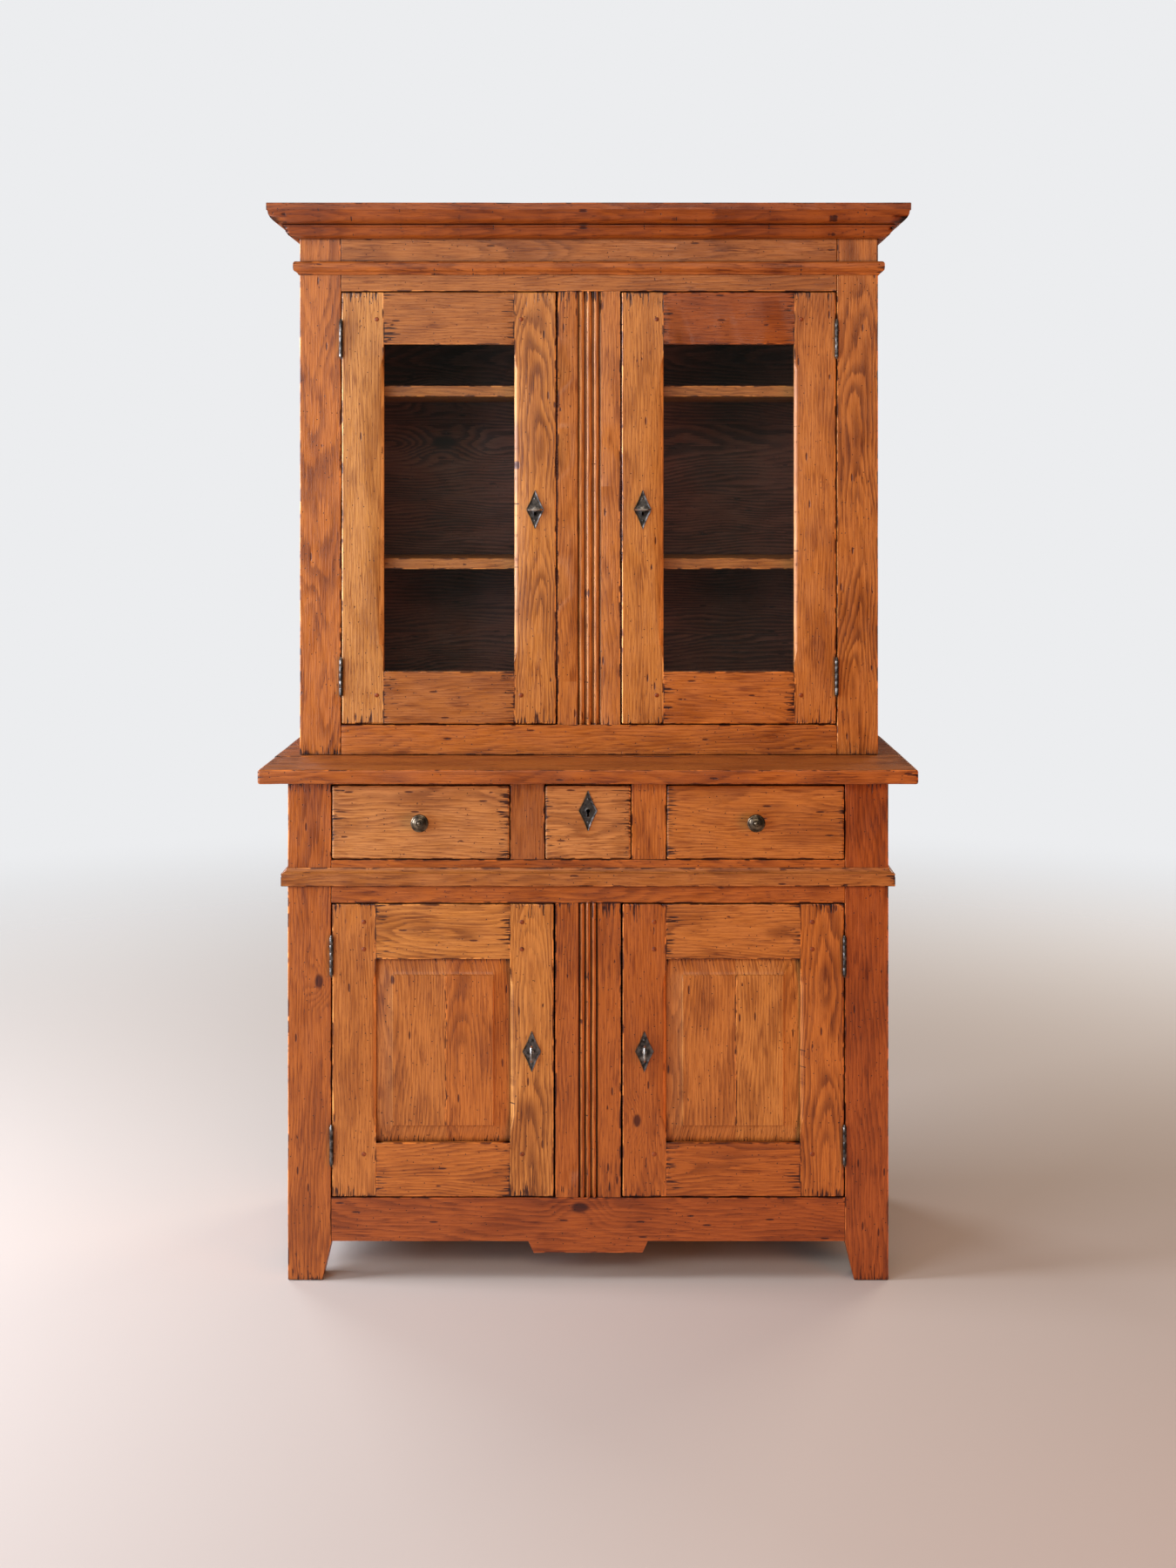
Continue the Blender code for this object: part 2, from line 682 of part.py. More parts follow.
BASE_FRAME_BACK = BASE_Y + BASE_FRAME_T
mid_rail = box("base_middle_rail", -RAIL_END, RAIL_END, BASE_Y, BASE_FRAME_BACK, MID_RAIL_Z0, MID_RAIL_Z1)
join(mid_rail, boxes("middle_rail_tenons", both_sides(BASE_RAIL_TENONS[1:])))
spans = [loose(MID_RAIL_MULLION)]
spans += [loose(moved(DIVIDER_FOOT, side * DIVIDER_MID)) for side in (-1, 1)]
cut(mid_rail, boxes("middle_rail_mortises", spans))
place(mid_rail, "oak")


UPPER_LOCK_Z = UPPER_DOOR_Z[0] + (UPPER_DOOR_Z[1] - UPPER_DOOR_Z[0]) * 0.4964
LOWER_LOCK_Z = LOWER_DOOR_Z[0] + (LOWER_DOOR_Z[1] - LOWER_DOOR_Z[0]) * 0.4966


def bolt_span(door_free_x, face_y, lock_z):
    """The bolt of a right-hand door at rest, with its end just inside the door's free edge."""
    y0 = face_y + LOCK_DEPTH + 0.0016
    z0 = lock_z + LOCK_CHAMBER_R + 0.0005
    return (door_free_x + FIT, door_free_x + BOLT_L, y0, y0 + BOLT_T, z0, z0 + BOLT_H)


def mullion(name, frame_t, front_y, z0, z1, feet, reed_w, lock_z, look):
    """An upright with three reeds on its face and a stop for the doors behind."""
    door_back = front_y - DOOR_PROUD + DOOR_T
    stop_y = door_back + STOP_GAP
    back_y = max(front_y + frame_t, stop_y + EPS_LAP)
    post = box(name, -MULLION_HALF, MULLION_HALF, front_y, back_y, z0 + FIT, z1 - FIT)
    stop = (
        -MULLION_HALF - STOP_LAP,
        MULLION_HALF + STOP_LAP,
        stop_y,
        stop_y + STOP_T,
        z0 + 0.0010,
        z1 - 0.0010,
    )
    join(post, boxes(name + "_stop", [stop]))
    join(post, boxes(name + "_tenons", feet))
    bm = bmesh.new()
    for step in (-1.5, -0.5, 0.5, 1.5):
        x = step * reed_w
        corners = (
            (x - REED_GROOVE_W / 2 - 0.0010, front_y - 0.001),
            (x + REED_GROOVE_W / 2 + 0.0010, front_y - 0.001),
            (x, front_y + REED_GROOVE_D),
        )
        low = [bm.verts.new((px, py, z0 - 0.01)) for px, py in corners]
        high = [bm.verts.new((px, py, z1 + 0.01)) for px, py in corners]
        bm.faces.new(low)
        bm.faces.new(high)
        for i in range(3):
            j = (i + 1) % 3
            bm.faces.new((low[i], low[j], high[j], high[i]))
    cut(post, mesh_object(name + "_reeding", bm))
    keeps = []
    x0, x1, y0, y1, bz0, bz1 = bolt_span(MULLION_HALF + DOOR_GAP, front_y - DOOR_PROUD, lock_z)
    keep = (
        MULLION_HALF - BOLT_THROW,
        MULLION_HALF + 0.02,
        y0 - BOLT_CLEAR,
        min(y1 + BOLT_CLEAR, door_back),
        bz0 - BOLT_CLEAR,
        bz1 + BOLT_CLEAR,
    )
    for side in (-1, 1):
        keeps.append(mirror_x(keep, side))
    cut(post, boxes(name + "_keeps", keeps))
    return place(post, look)


mullion(
    "base_mullion",
    BASE_FRAME_T,
    BASE_Y,
    BOTTOM_RAIL_TOP,
    MID_RAIL_Z0,
    [BOTTOM_RAIL_MULLION, MID_RAIL_MULLION],
    REED_W_LOWER,
    LOWER_LOCK_Z,
    "oak",
)
mullion(
    "upper_mullion",
    UPPER_FRAME_T,
    UPPER_Y,
    SILL_TOP,
    HEAD_Z,
    [SILL_MULLION, HEAD_MULLION],
    REED_W_UPPER,
    UPPER_LOCK_Z,
    "oak",
)

for side, name in ((-1, "drawer_divider_left"), (1, "drawer_divider_right")):
    divider = box(
        name, side * DIV_X0, side * DIV_X1, BASE_Y, BASE_Y + BASE_FRAME_T, MID_RAIL_Z1 + FIT, BASE_TOP
    )
    bevel(divider, 0.001)
    tenons = [moved(t, side * DIVIDER_MID) for t in (DIVIDER_FOOT, DIVIDER_HEAD)]
    join(divider, boxes(name + "_tenons", tenons))
    place(divider, "oak")

# ---------------------------------------------------------------- base boards and worktop

BASE_BOARD_END = SIDE_IN + HOUSING - FIT
UPPER_BOARD_END = UPPER_SIDE_IN + HOUSING - FIT
BASE_BACK_OPEN = BASE_HALF - BACK_POST_W - FIT
UPPER_BACK_OPEN = UPPER_HALF - UPPER_BACK_STILE_W - FIT


def housed_board(name, top, thickness, front, wide_y, end_x, back_open):
    """A board held in the side housings: it is wide between the posts and narrower past them.

    front is (half width, y) of the part that reaches forward between the front posts, or None.
    """
    board = box(name, -end_x, end_x, wide_y[0], wide_y[1], top - thickness, top)
    bevel(board, 0.0008)
    inside = (top - thickness + 0.0002, top - 0.0002)
    spans = [(-back_open, back_open, wide_y[1] - EPS_LAP, BACK_FRONT_Y, *inside)]
    if front:
        spans.append((-front[0], front[0], front[1], wide_y[0] + EPS_LAP, *inside))
    join(board, boxes(name + "_tongues", spans))
    return board


base_wide = (BASE_Y + BASE_POST_D + POST_BACK_GAP, BACK_Y - BACK_POST_W - POST_BACK_GAP)
base_front = (OPEN_HALF - FIT, DECK_Y0)
base_shape = (base_front, base_wide, BASE_BOARD_END, BASE_BACK_OPEN)
place(housed_board("base_floor", FLOOR_TOP, BOARD_T, *base_shape), "plain")

deck = housed_board("drawer_deck", DECK_TOP, BOARD_T, *base_shape)
GUIDE_H = 0.016
DRAWER_GAP = 0.0015
GUIDE_CLEAR = 0.0012
guides = []
for side in (-1, 1):
    guides.append(
        mirror_x(
            (
                DIV_X0 - DRAWER_GAP + GUIDE_CLEAR,
                DIV_X1 + DRAWER_GAP - GUIDE_CLEAR,
                BASE_Y + BASE_FRAME_T + 0.004,
                BACK_FRONT_Y - 0.004,
                DECK_TOP - 0.004,
                DECK_TOP + GUIDE_H,
            ),
            side,
        )
    )
    guides.append(
        mirror_x(
            (
                OPEN_HALF - DRAWER_GAP + GUIDE_CLEAR,
                OPEN_HALF + 0.024,
                base_wide[0] + 0.004,
                base_wide[1] - 0.004,
                DECK_TOP - 0.004,
                DECK_TOP + GUIDE_H,
            ),
            side,
        )
    )
join(deck, boxes("drawer_guides", guides))
place(deck, "plain")

back_half = BASE_HALF - BACK_POST_W + 0.016 - FIT
base_back = box("base_back", -back_half, back_half, BACK_Y - BACK_T, BACK_Y - 0.0002, APRON_Z, BASE_TOP)
place(base_back, "plain")

worktop = box("worktop", -WORKTOP_HALF, WORKTOP_HALF, -HALF_D, HALF_D, WORKTOP_BOTTOM, WORKTOP_TOP)
bevel(worktop, 0.004, 2)
cut(
    worktop,
    boxes("worktop_mortises", [loose(moved(DIVIDER_HEAD, side * DIVIDER_MID)) for side in (-1, 1)]),
)
place(worktop, "oak")

WAIST_Z0 = MID_RAIL_Z0 + 0.0321
WAIST_BAND_H = 0.0184
WAIST_COVE_H = 0.0145
WAIST_OUT = 0.011
cove = arc(WAIST_OUT, WAIST_Z0 + WAIST_BAND_H + WAIST_COVE_H, WAIST_OUT - 0.0015, 270, 180, 4)
waist_profile = [
    (FIT, WAIST_Z0),
    (WAIST_OUT - 0.0015, WAIST_Z0),
    (WAIST_OUT, WAIST_Z0 + 0.0015),
    (WAIST_OUT, WAIST_Z0 + WAIST_BAND_H - 0.0015),
    (WAIST_OUT - 0.0010, WAIST_Z0 + WAIST_BAND_H),
]
waist_profile += [(out, min(z, WAIST_Z0 + WAIST_BAND_H + WAIST_COVE_H)) for out, z in cove]
waist_profile += [(FIT, WAIST_Z0 + WAIST_BAND_H + WAIST_COVE_H)]
place(planted_moulding("waist_moulding", waist_profile, BASE_HALF, BASE_Y, BACK_Y), "light")

# ---------------------------------------------------------------- upper frame, shelves, back and mouldings

UPPER_RAIL_END = UPPER_OPEN_HALF - FIT
upper_rail_xy = (-UPPER_RAIL_END, UPPER_RAIL_END, UPPER_Y, UPPER_Y + UPPER_FRAME_T)
sill = box("upper_bottom_rail", *upper_rail_xy, UPPER_Z0, SILL_TOP)
bevel(sill, 0.001)
join(sill, boxes("sill_tenons", both_sides(UPPER_RAIL_TENONS[:1])))
cut(sill, boxes("sill_mortise", [loose(SILL_MULLION)]))
place(sill, "oak")

frieze = box("frieze_rail", *upper_rail_xy, HEAD_Z, UPPER_TOP_Z)
join(frieze, boxes("frieze_tenons", both_sides(UPPER_RAIL_TENONS[1:])))
cut(frieze, boxes("frieze_mortise", [loose(HEAD_MULLION)]))
place(frieze, "oak")

upper_wide_end = BACK_Y - UPPER_BACK_STILE_D - POST_BACK_GAP
for name, top in (("shelf_upper", UPPER_SHELF_TOP), ("shelf_lower", LOWER_SHELF_TOP)):
    shelf = housed_board(
        name, top, SHELF_T, None, (SHELF_Y0, upper_wide_end), UPPER_BOARD_END, UPPER_BACK_OPEN
    )
    place(shelf, "light")

upper_back_half = UPPER_HALF - UPPER_BACK_STILE_W + 0.016 - FIT
upper_back = box(
    "upper_back",
    -upper_back_half,
    upper_back_half,
    BACK_Y - BACK_T,
    BACK_Y - 0.0002,
    UPPER_Z0,
    UPPER_TOP_Z - 0.0005,
)
place(upper_back, "dark")

top_board = housed_board(
    "upper_top",
    TOP_BOARD_Z,
    BOARD_T,
    (UPPER_OPEN_HALF - FIT, TOP_BOARD_Y0),
    (UPPER_Y + UPPER_POST_D + POST_BACK_GAP, upper_wide_end),
    UPPER_BOARD_END,
    UPPER_BACK_OPEN,
)
place(top_board, "dark")

# The cornice, bottom to top: cavetto, fillet, bead, fillet, ovolo and a plain fillet.
c0 = CORNICE_Z0
out = CORNICE_OUT
cornice_profile = [(FIT, c0), (out * 0.11, c0)]
cornice_profile += arc(out * 0.11, c0 + out * 0.34 + 0.0002, out * 0.34, 270, 360, 4)[1:]
cornice_profile += [
    (out * 0.49, c0 + out * 0.345),
    (out * 0.535, c0 + out * 0.38),
    (out * 0.535, c0 + out * 0.42),
    (out * 0.50, c0 + out * 0.455),
    (out * 0.56, c0 + out * 0.46),
]
cornice_profile += arc(out * 0.56, c0 + out * 0.86, out * 0.40, 270, 360, 5)[1:]
cornice_profile += [(out, c0 + out * 0.88), (out, TOTAL_H - 0.001), (out - 0.001, TOTAL_H), (FIT, TOTAL_H)]
place(planted_moulding("cornice", cornice_profile, UPPER_HALF, UPPER_Y, BACK_Y), "oak")

n0 = NECK_Z0
neck_profile = [
    (FIT, n0),
    (0.0022, n0),
    (0.0050, n0 + NECK_H * 0.24),
    (NECK_OUT - 0.0025, n0 + NECK_H * 0.26),
    (NECK_OUT - 0.0006, n0 + NECK_H * 0.36),
    (NECK_OUT, n0 + NECK_H * 0.54),
    (NECK_OUT, n0 + NECK_H * 0.78),
    (NECK_OUT - 0.0012, n0 + NECK_H * 0.92),
    (NECK_OUT - 0.0040, n0 + NECK_H),
    (FIT, n0 + NECK_H),
]
place(planted_moulding("neck_moulding", neck_profile, UPPER_HALF, UPPER_Y, BACK_Y), "light")

# ---------------------------------------------------------------- doors


def door(name, side, open_half, front_y, z_span, glazed, lock_z, look):
    """One door; side is +1 on the right. Returns the joint axis and the lock's centre."""
    z0, z1 = z_span
    inner = MULLION_HALF + DOOR_GAP
    outer = open_half - DOOR_GAP
    face = front_y - DOOR_PROUD
    back = face + DOOR_T
    axis = (side * (open_half - DOOR_GAP / 2), face - HINGE_OUT, (z0 + z1) / 2)
    lock_x = inner + STILE_W / 2
    frame = bevel(box(name + "_frame", side * inner, side * outer, face, back, z0, z1), 0.0015)
    if glazed:
        rails = (UPPER_RAIL_H, UPPER_RAIL_H)
    else:
        rails = (LOWER_BOTTOM_RAIL_H, LOWER_TOP_RAIL_H)
    hole = (inner + STILE_W, outer - STILE_W, z0 + rails[0], z1 - rails[1])
    cut(frame, boxes(name + "_light", [mirror_x((*hole[:2], face - 0.01, back + 0.01, *hole[2:]), side)]))
    if glazed:
        seat = (
            hole[0] - REBATE_W,
            hole[1] + REBATE_W,
            face + GLASS_LIP,
            back + 0.01,
            hole[2] - REBATE_W,
            hole[3] + REBATE_W,
        )
    else:
        groove_y = face + DOOR_T * PANEL_SET
        seat = (
            hole[0] - PANEL_GROOVE_D,
            hole[1] + PANEL_GROOVE_D,
            groove_y,
            groove_y + PANEL_TONGUE_T + 2 * FIT,
            hole[2] - PANEL_GROOVE_D,
            hole[3] + PANEL_GROOVE_D,
        )
    cut(frame, boxes(name + "_seat", [mirror_x(seat, side)]))
    bm = bmesh.new()
    for x in hole[:2]:
        ends = (hole[2] + CHAMFER_STOP, hole[3] - CHAMFER_STOP)
        stopped_chamfer(bm, side * x, face, *ends, CHAMFER, CHAMFER_RUN)
    cut(frame, mesh_object(name + "_chamfers", bm))
    # The lock: a round chamber for the key's bit, open to a slot for the bolt in the door's free edge.
    chamber = cylinder_y(
        name + "_chamber",
        side * lock_x,
        lock_z,
        face + LOCK_DEPTH,
        face + LOCK_DEPTH + 0.0102,
        LOCK_CHAMBER_R,
    )
    cut(frame, chamber)
    x0, x1, y0, y1, bz0, bz1 = bolt_span(inner, face, lock_z)
    slot = (
        inner - 0.01,
        x1 + BOLT_CLEAR,
        y0 - BOLT_CLEAR,
        y1 + BOLT_CLEAR,
        bz0 - 0.0010,
        bz1 + BOLT_CLEAR,
    )
    cut(frame, boxes(name + "_bolt_slot", [mirror_x(slot, side)]))
    hole_y = (face - 0.01, face + LOCK_DEPTH + 0.002)
    cut(frame, keyhole_tool(name + "_keyhole", side * lock_x, lock_z, *hole_y, KEYHOLE_R, KEYHOLE_DROP))
    place(frame, look, axis)
    seat_x0, seat_x1, seat_y0, _, seat_z0, seat_z1 = mirror_x(seat, side)
    if glazed:
        pane = box(
            name + "_glass",
            seat_x0 + FIT,
            seat_x1 - FIT,
            seat_y0 + FIT,
            seat_y0 + FIT + GLASS_T,
            seat_z0 + FIT,
            seat_z1 - FIT,
        )
        place(pane, "glass", axis)
    else:
        panel = box(
            name + "_panel",
            seat_x0 + 0.001,
            seat_x1 - 0.001,
            seat_y0 + FIT,
            seat_y0 + FIT + PANEL_TONGUE_T,
            seat_z0 + 0.001,
            seat_z1 - 0.001,
        )
        hx0, hx1 = sorted((side * hole[0], side * hole[1]))
        field = raised_field(
            name + "_field",
            hx0 + 0.001,
            hx1 - 0.001,
            seat_y0 + FIT + 0.001,
            seat_y0 + FIT + PANEL_TONGUE_T - PANEL_FIELD_T,
            hole[2] + 0.001,
            hole[3] - 0.001,
            PANEL_BEVEL_W - 0.001,
        )
        join(panel, field)
        place(panel, look, axis)
    return axis, side * lock_x, face


def escutcheon(name, x, z, face_y, origin):
    """A diamond plate with a keyhole, laid on the wood."""
    half_w = ESC_W / 2
    half_h = ESC_H / 2
    edge = [(0, half_h), (-half_w * 0.52, half_h * 0.42), (-half_w, 0), (-half_w * 0.52, -half_h * 0.42)]
    edge += [(0, -half_h), (half_w * 0.52, -half_h * 0.42), (half_w, 0), (half_w * 0.52, half_h * 0.42)]
    half = KEYHOLE_R * 0.55
    turn = math.degrees(math.asin(0.55))
    hole = arc(0, 0, KEYHOLE_R, -90 + turn, 270 - turn, 12)
    hole += [(-half, -KEYHOLE_DROP), (half, -KEYHOLE_DROP)]
    plate = outline(name, [edge, hole], ESC_T / 2)
    spot = (x, face_y - FIT - ESC_T / 2, z)
    place(plate, "iron")
    plate.location = spot
    if origin:
        pivot = bpy.data.objects.new(name + "_axis", None)
        pivot.location = origin
        PARTS.objects.link(pivot)
        plate.parent = pivot
        plate.location = [a - b for a, b in zip(spot, origin)]


def key(name, x, z, face_y, bow_turn, side):
    """A key in its lock: an oval bow, a collar, a round shank and a bit in the lock's chamber."""
    tip = face_y + LOCK_DEPTH + 0.0090
    shank = cylinder_y(name, 0.0, 0.0, face_y - KEY_OUT + BOW_L - 0.003, tip, KEY_R, 12)
    bm = bmesh.new()
    rings = 16
    ring_r = (BOW_W - BOW_T) / 2
    deep_r = (BOW_L - BOW_T) / 2
    for i in range(rings):
        a = math.tau * i / rings
        centre = (ring_r * math.cos(a), deep_r * math.sin(a))
        out_x = math.cos(a)
        out_y = math.sin(a)
        for u, v in ((1, 0), (0.5, 0.87), (-0.5, 0.87), (-1, 0), (-0.5, -0.87), (0.5, -0.87)):
            bm.verts.new(
                (
                    centre[0] + out_x * u * BOW_T / 2,
                    face_y - KEY_OUT + BOW_L / 2 + centre[1] + out_y * u * BOW_T / 2,
                    v * BOW_T / 2,
                )
            )
    bm.verts.ensure_lookup_table()
    for i in range(rings):
        for j in range(6):
            a = i * 6 + j
            b = i * 6 + (j + 1) % 6
            c = ((i + 1) % rings) * 6 + (j + 1) % 6
            d = ((i + 1) % rings) * 6 + j
            bm.faces.new((bm.verts[a], bm.verts[b], bm.verts[c], bm.verts[d]))
    join(shank, mesh_object(name + "_bow", bm))
    collar = cylinder_y(name + "_collar", 0.0, 0.0, face_y - 0.0062, face_y - 0.0034, KEY_R + 0.0016, 16)
    join(shank, collar)
    # Drawn with the bow lying in the XY plane and the bit along +X, then turned about the shank.
    bit = (0.0010, BIT_L, tip - 0.0012 - BIT_H * 0.75, tip - 0.0012, -0.0012, 0.0012)
    join(shank, boxes(name + "_bit", [bit]))
    turn = math.radians(bow_turn)
    for piece in [shank] + [m.object for m in shank.modifiers if m.type == "BOOLEAN"]:
        for vertex in piece.data.vertices:
            px, pz = vertex.co.x, vertex.co.z
            vertex.co.x = x + px * math.cos(turn) + pz * math.sin(turn)
            vertex.co.z = z - px * math.sin(turn) + pz * math.cos(turn)
    return place(shank, "iron", (x, face_y, z))


def bolt(name, side, door_free_x, face_y, lock_z):
    x0, x1, y0, y1, z0, z1 = mirror_x(bolt_span(door_free_x, face_y, lock_z), side)
    piece = bevel(box(name, x0, x1, y0, y1, z0, z1), 0.0006)
    return place(piece, "iron", ((x0 + x1) / 2, (y0 + y1) / 2, (z0 + z1) / 2))


def hinge(name, side, edge, face_y, level):
    """A butt hinge's frame leaf with the barrel and pin: the leaf lies in its seat in the post."""
    half = HINGE_H / 2
    knuckle = HINGE_H / 5
    profile = [(0.0, -half - 0.0042), (HINGE_R * 0.68, -half - 0.0028), (HINGE_R * 0.60, -half)]
    for i in range(5):
        low = -half + i * knuckle
        profile += [(HINGE_R * 0.86, low + 0.0002), (HINGE_R, low + 0.0009)]
        profile += [(HINGE_R, low + knuckle - 0.0005)]
    profile += [(HINGE_R * 0.60, half), (HINGE_R * 0.68, half + 0.0028), (0.0, half + 0.0042)]
    barrel = turned(name, profile, 10)
    barrel.location = (side * (edge - DOOR_GAP / 2), face_y - HINGE_OUT, level)
    leaf_x0 = edge + LEAF_RECESS - FIT - LEAF_T
    leaf_z = (level - half + 0.0001, level + half - 0.0001)
    leaf = (leaf_x0, leaf_x0 + LEAF_T, face_y - HINGE_OUT, face_y + LEAF_D, *leaf_z)
    join(barrel, boxes(name + "_leaf", [mirror_x(leaf, side)]))
    return place(barrel, "iron", tuple(barrel.location))


DOORS = (
    ("door_upper_left", -1, UPPER_OPEN_HALF, UPPER_Y, UPPER_DOOR_Z, True, UPPER_LOCK_Z, "light", 180),
    ("door_upper_right", 1, UPPER_OPEN_HALF, UPPER_Y, UPPER_DOOR_Z, True, UPPER_LOCK_Z, "oak", 0),
    ("door_lower_left", -1, OPEN_HALF, BASE_Y, LOWER_DOOR_Z, False, LOWER_LOCK_Z, "oak", 90),
    ("door_lower_right", 1, OPEN_HALF, BASE_Y, LOWER_DOOR_Z, False, LOWER_LOCK_Z, "red", 90),
)
for name, side, open_half, front_y, z_span, glazed, lock_z, look, bow_turn in DOORS:
    axis, lock_x, face = door(name, side, open_half, front_y, z_span, glazed, lock_z, look)
    short = name.replace("door_", "")
    escutcheon("escutcheon_" + short, lock_x, lock_z, face, axis)
    key("key_" + short, lock_x, lock_z, face, bow_turn, side)
    bolt("bolt_" + short, side, MULLION_HALF + DOOR_GAP, face, lock_z)
    levels = UPPER_HINGES if glazed else LOWER_HINGES
    for end, level in zip(("bottom", "top"), levels):
        hinge("hinge_" + short + "_" + end, side, open_half, face, level)

# ---------------------------------------------------------------- drawers


def drawer(name, x0, x1, knob_x, look):
    """A drawer front with a box behind it: two sides, a back and a bottom."""
    z0 = MID_RAIL_Z1 + DRAWER_GAP
    z1 = WORKTOP_BOTTOM - DRAWER_HEAD_GAP
    face = BASE_Y - DRAWER_PROUD
    back = face + DRAWER_FRONT_T
    mid_x = (x0 + x1) / 2
    mid_z = (z0 + z1) / 2
    front = box("drawer_front_" + name, x0 + DRAWER_GAP, x1 - DRAWER_GAP, face, back, z0, z1)
    bevel(front, 0.0035, 2)
    if knob_x is None:
        hole_y = (face - 0.01, back + 0.01)
        cut(front, keyhole_tool(name + "_keyhole", mid_x, CENTRE_LOCK_Z, *hole_y, KEYHOLE_R, KEYHOLE_DROP))
    else:
        hole_r = KNOB_SPIGOT_R + FIT
        cut(front, cylinder_y(name + "_knob_hole", knob_x, KNOB_Z, face - 0.01, back + 0.01, hole_r, 16))
    place(front, look, (mid_x, face, mid_z))
    bx0 = x0 + DRAWER_GAP + 0.0005
    bx1 = x1 - DRAWER_GAP - 0.0005
    by0 = back + FIT
    by1 = BACK_FRONT_Y - DRAWER_BACK_GAP
    bz0 = DECK_TOP + FIT
    bz1 = z1 - DRAWER_TOP_DROP
    tray = bevel(box("drawer_box_" + name, bx0, bx1, by0, by1, bz0, bz1), 0.0008)
    hollow = (
        bx0 + DRAWER_SIDE_T,
        bx1 - DRAWER_SIDE_T,
        by0 - 0.01,
        by1 - DRAWER_SIDE_T,
        bz0 + DRAWER_BOTTOM_T,
        bz1 + 0.01,
    )
    cut(tray, boxes(name + "_drawer_hollow", [hollow]))
    place(tray, "plain", (mid_x, face, mid_z))


def knob(name, x, face_y):
    """An iron knob on a small rose, with a nipple at its middle and a spigot into the drawer front."""
    rose = 0.0018
    profile = [(0.0, -0.016), (KNOB_SPIGOT_R, -0.016), (KNOB_SPIGOT_R, FIT)]
    profile += [(KNOB_R * 0.72, FIT), (KNOB_R * 0.72, rose), (KNOB_R * 0.42, rose + 0.0008)]
    profile += [(KNOB_R * 0.34, KNOB_OUT * 0.30), (KNOB_R * 0.52, KNOB_OUT * 0.40)]
    profile += [(KNOB_R * 0.94, KNOB_OUT * 0.50), (KNOB_R, KNOB_OUT * 0.60)]
    profile += [(KNOB_R * 0.93, KNOB_OUT * 0.74), (KNOB_R * 0.66, KNOB_OUT * 0.88)]
    profile += [(KNOB_R * 0.28, KNOB_OUT * 0.94), (KNOB_R * 0.22, KNOB_OUT * 0.985)]
    profile += [(KNOB_R * 0.10, KNOB_OUT), (0.0, KNOB_OUT)]
    piece = turned(name, profile, 20)
    piece.rotation_euler = (math.radians(90), 0.0, 0.0)
    piece.location = (x, face_y, KNOB_Z)
    place(piece, "iron", tuple(piece.location))


KNOB_SPIGOT_R = 0.004
KNOB_Z = WORKTOP_BOTTOM - 0.0725
CENTRE_LOCK_Z = WORKTOP_BOTTOM - 0.0527
SIDE_KNOB_X = (DIV_X1 + OPEN_HALF) / 2
drawer("left", -OPEN_HALF, -DIV_X1, -SIDE_KNOB_X, "light")
drawer("centre", -DIV_X0, DIV_X0, None, "oak")
drawer("right", DIV_X1, OPEN_HALF, SIDE_KNOB_X, "oak")
knob("knob_left", -SIDE_KNOB_X, BASE_Y - DRAWER_PROUD)
knob("knob_right", SIDE_KNOB_X, BASE_Y - DRAWER_PROUD)
escutcheon("escutcheon_centre_drawer", 0.0, CENTRE_LOCK_Z, BASE_Y - DRAWER_PROUD, None)
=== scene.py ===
import math

import bmesh
import bpy
from mathutils import Matrix, Vector, noise


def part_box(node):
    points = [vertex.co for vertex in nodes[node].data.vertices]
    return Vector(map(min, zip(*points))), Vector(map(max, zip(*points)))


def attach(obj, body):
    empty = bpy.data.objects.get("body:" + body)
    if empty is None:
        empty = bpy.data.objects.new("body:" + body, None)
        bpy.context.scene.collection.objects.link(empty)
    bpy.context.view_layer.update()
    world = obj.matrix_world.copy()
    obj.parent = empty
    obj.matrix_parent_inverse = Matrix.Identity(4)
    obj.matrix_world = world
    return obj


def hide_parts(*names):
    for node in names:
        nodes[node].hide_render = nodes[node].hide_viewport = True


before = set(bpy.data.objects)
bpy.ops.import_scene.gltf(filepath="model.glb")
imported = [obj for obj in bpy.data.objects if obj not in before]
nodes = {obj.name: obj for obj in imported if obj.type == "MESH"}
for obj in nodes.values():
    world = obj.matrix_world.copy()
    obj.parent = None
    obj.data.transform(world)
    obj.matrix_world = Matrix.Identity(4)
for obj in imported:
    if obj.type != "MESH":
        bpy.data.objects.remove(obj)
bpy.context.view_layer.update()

# ---------------------------------------------------------------- the studio
# A pale paper floor that fades out, a large window lamp to the left of the camera, a warm lamp to the
# right, soft lamps above and behind, and a pale backdrop. None of it belongs to the cabinet.


def srgb(code):
    """A hex colour as linear red, green, blue and alpha."""
    parts = [int(code[i : i + 2], 16) / 255 for i in (1, 3, 5)]
    return (*[c / 12.92 if c <= 0.04045 else ((c + 0.055) / 1.055) ** 2.4 for c in parts], 1.0)


def add(tree, kind, inputs=(), **settings):
    """Adds a shader node with its properties and inputs. Each input is a value, a node or (node, output);
    a list fills the sockets in order, and a dictionary fills them by name or number."""
    made = tree.nodes.new(kind)
    for key, value in settings.items():
        setattr(made, key, value)
    for socket, value in inputs.items() if isinstance(inputs, dict) else enumerate(inputs):
        if isinstance(value, bpy.types.Node):
            tree.links.new(value.outputs[0], made.inputs[socket])
        elif isinstance(value, tuple) and isinstance(value[0], bpy.types.Node):
            tree.links.new(value[0].outputs[value[1]], made.inputs[socket])
        else:
            made.inputs[socket].default_value = value
    return made


def new_material(name):
    """A new material, with its node tree and its shader."""
    made = bpy.data.materials.new(name)
    made.use_nodes = True
    return made, made.node_tree, made.node_tree.nodes["Principled BSDF"]


scene = bpy.context.scene
scene.view_settings.view_transform = "Standard"

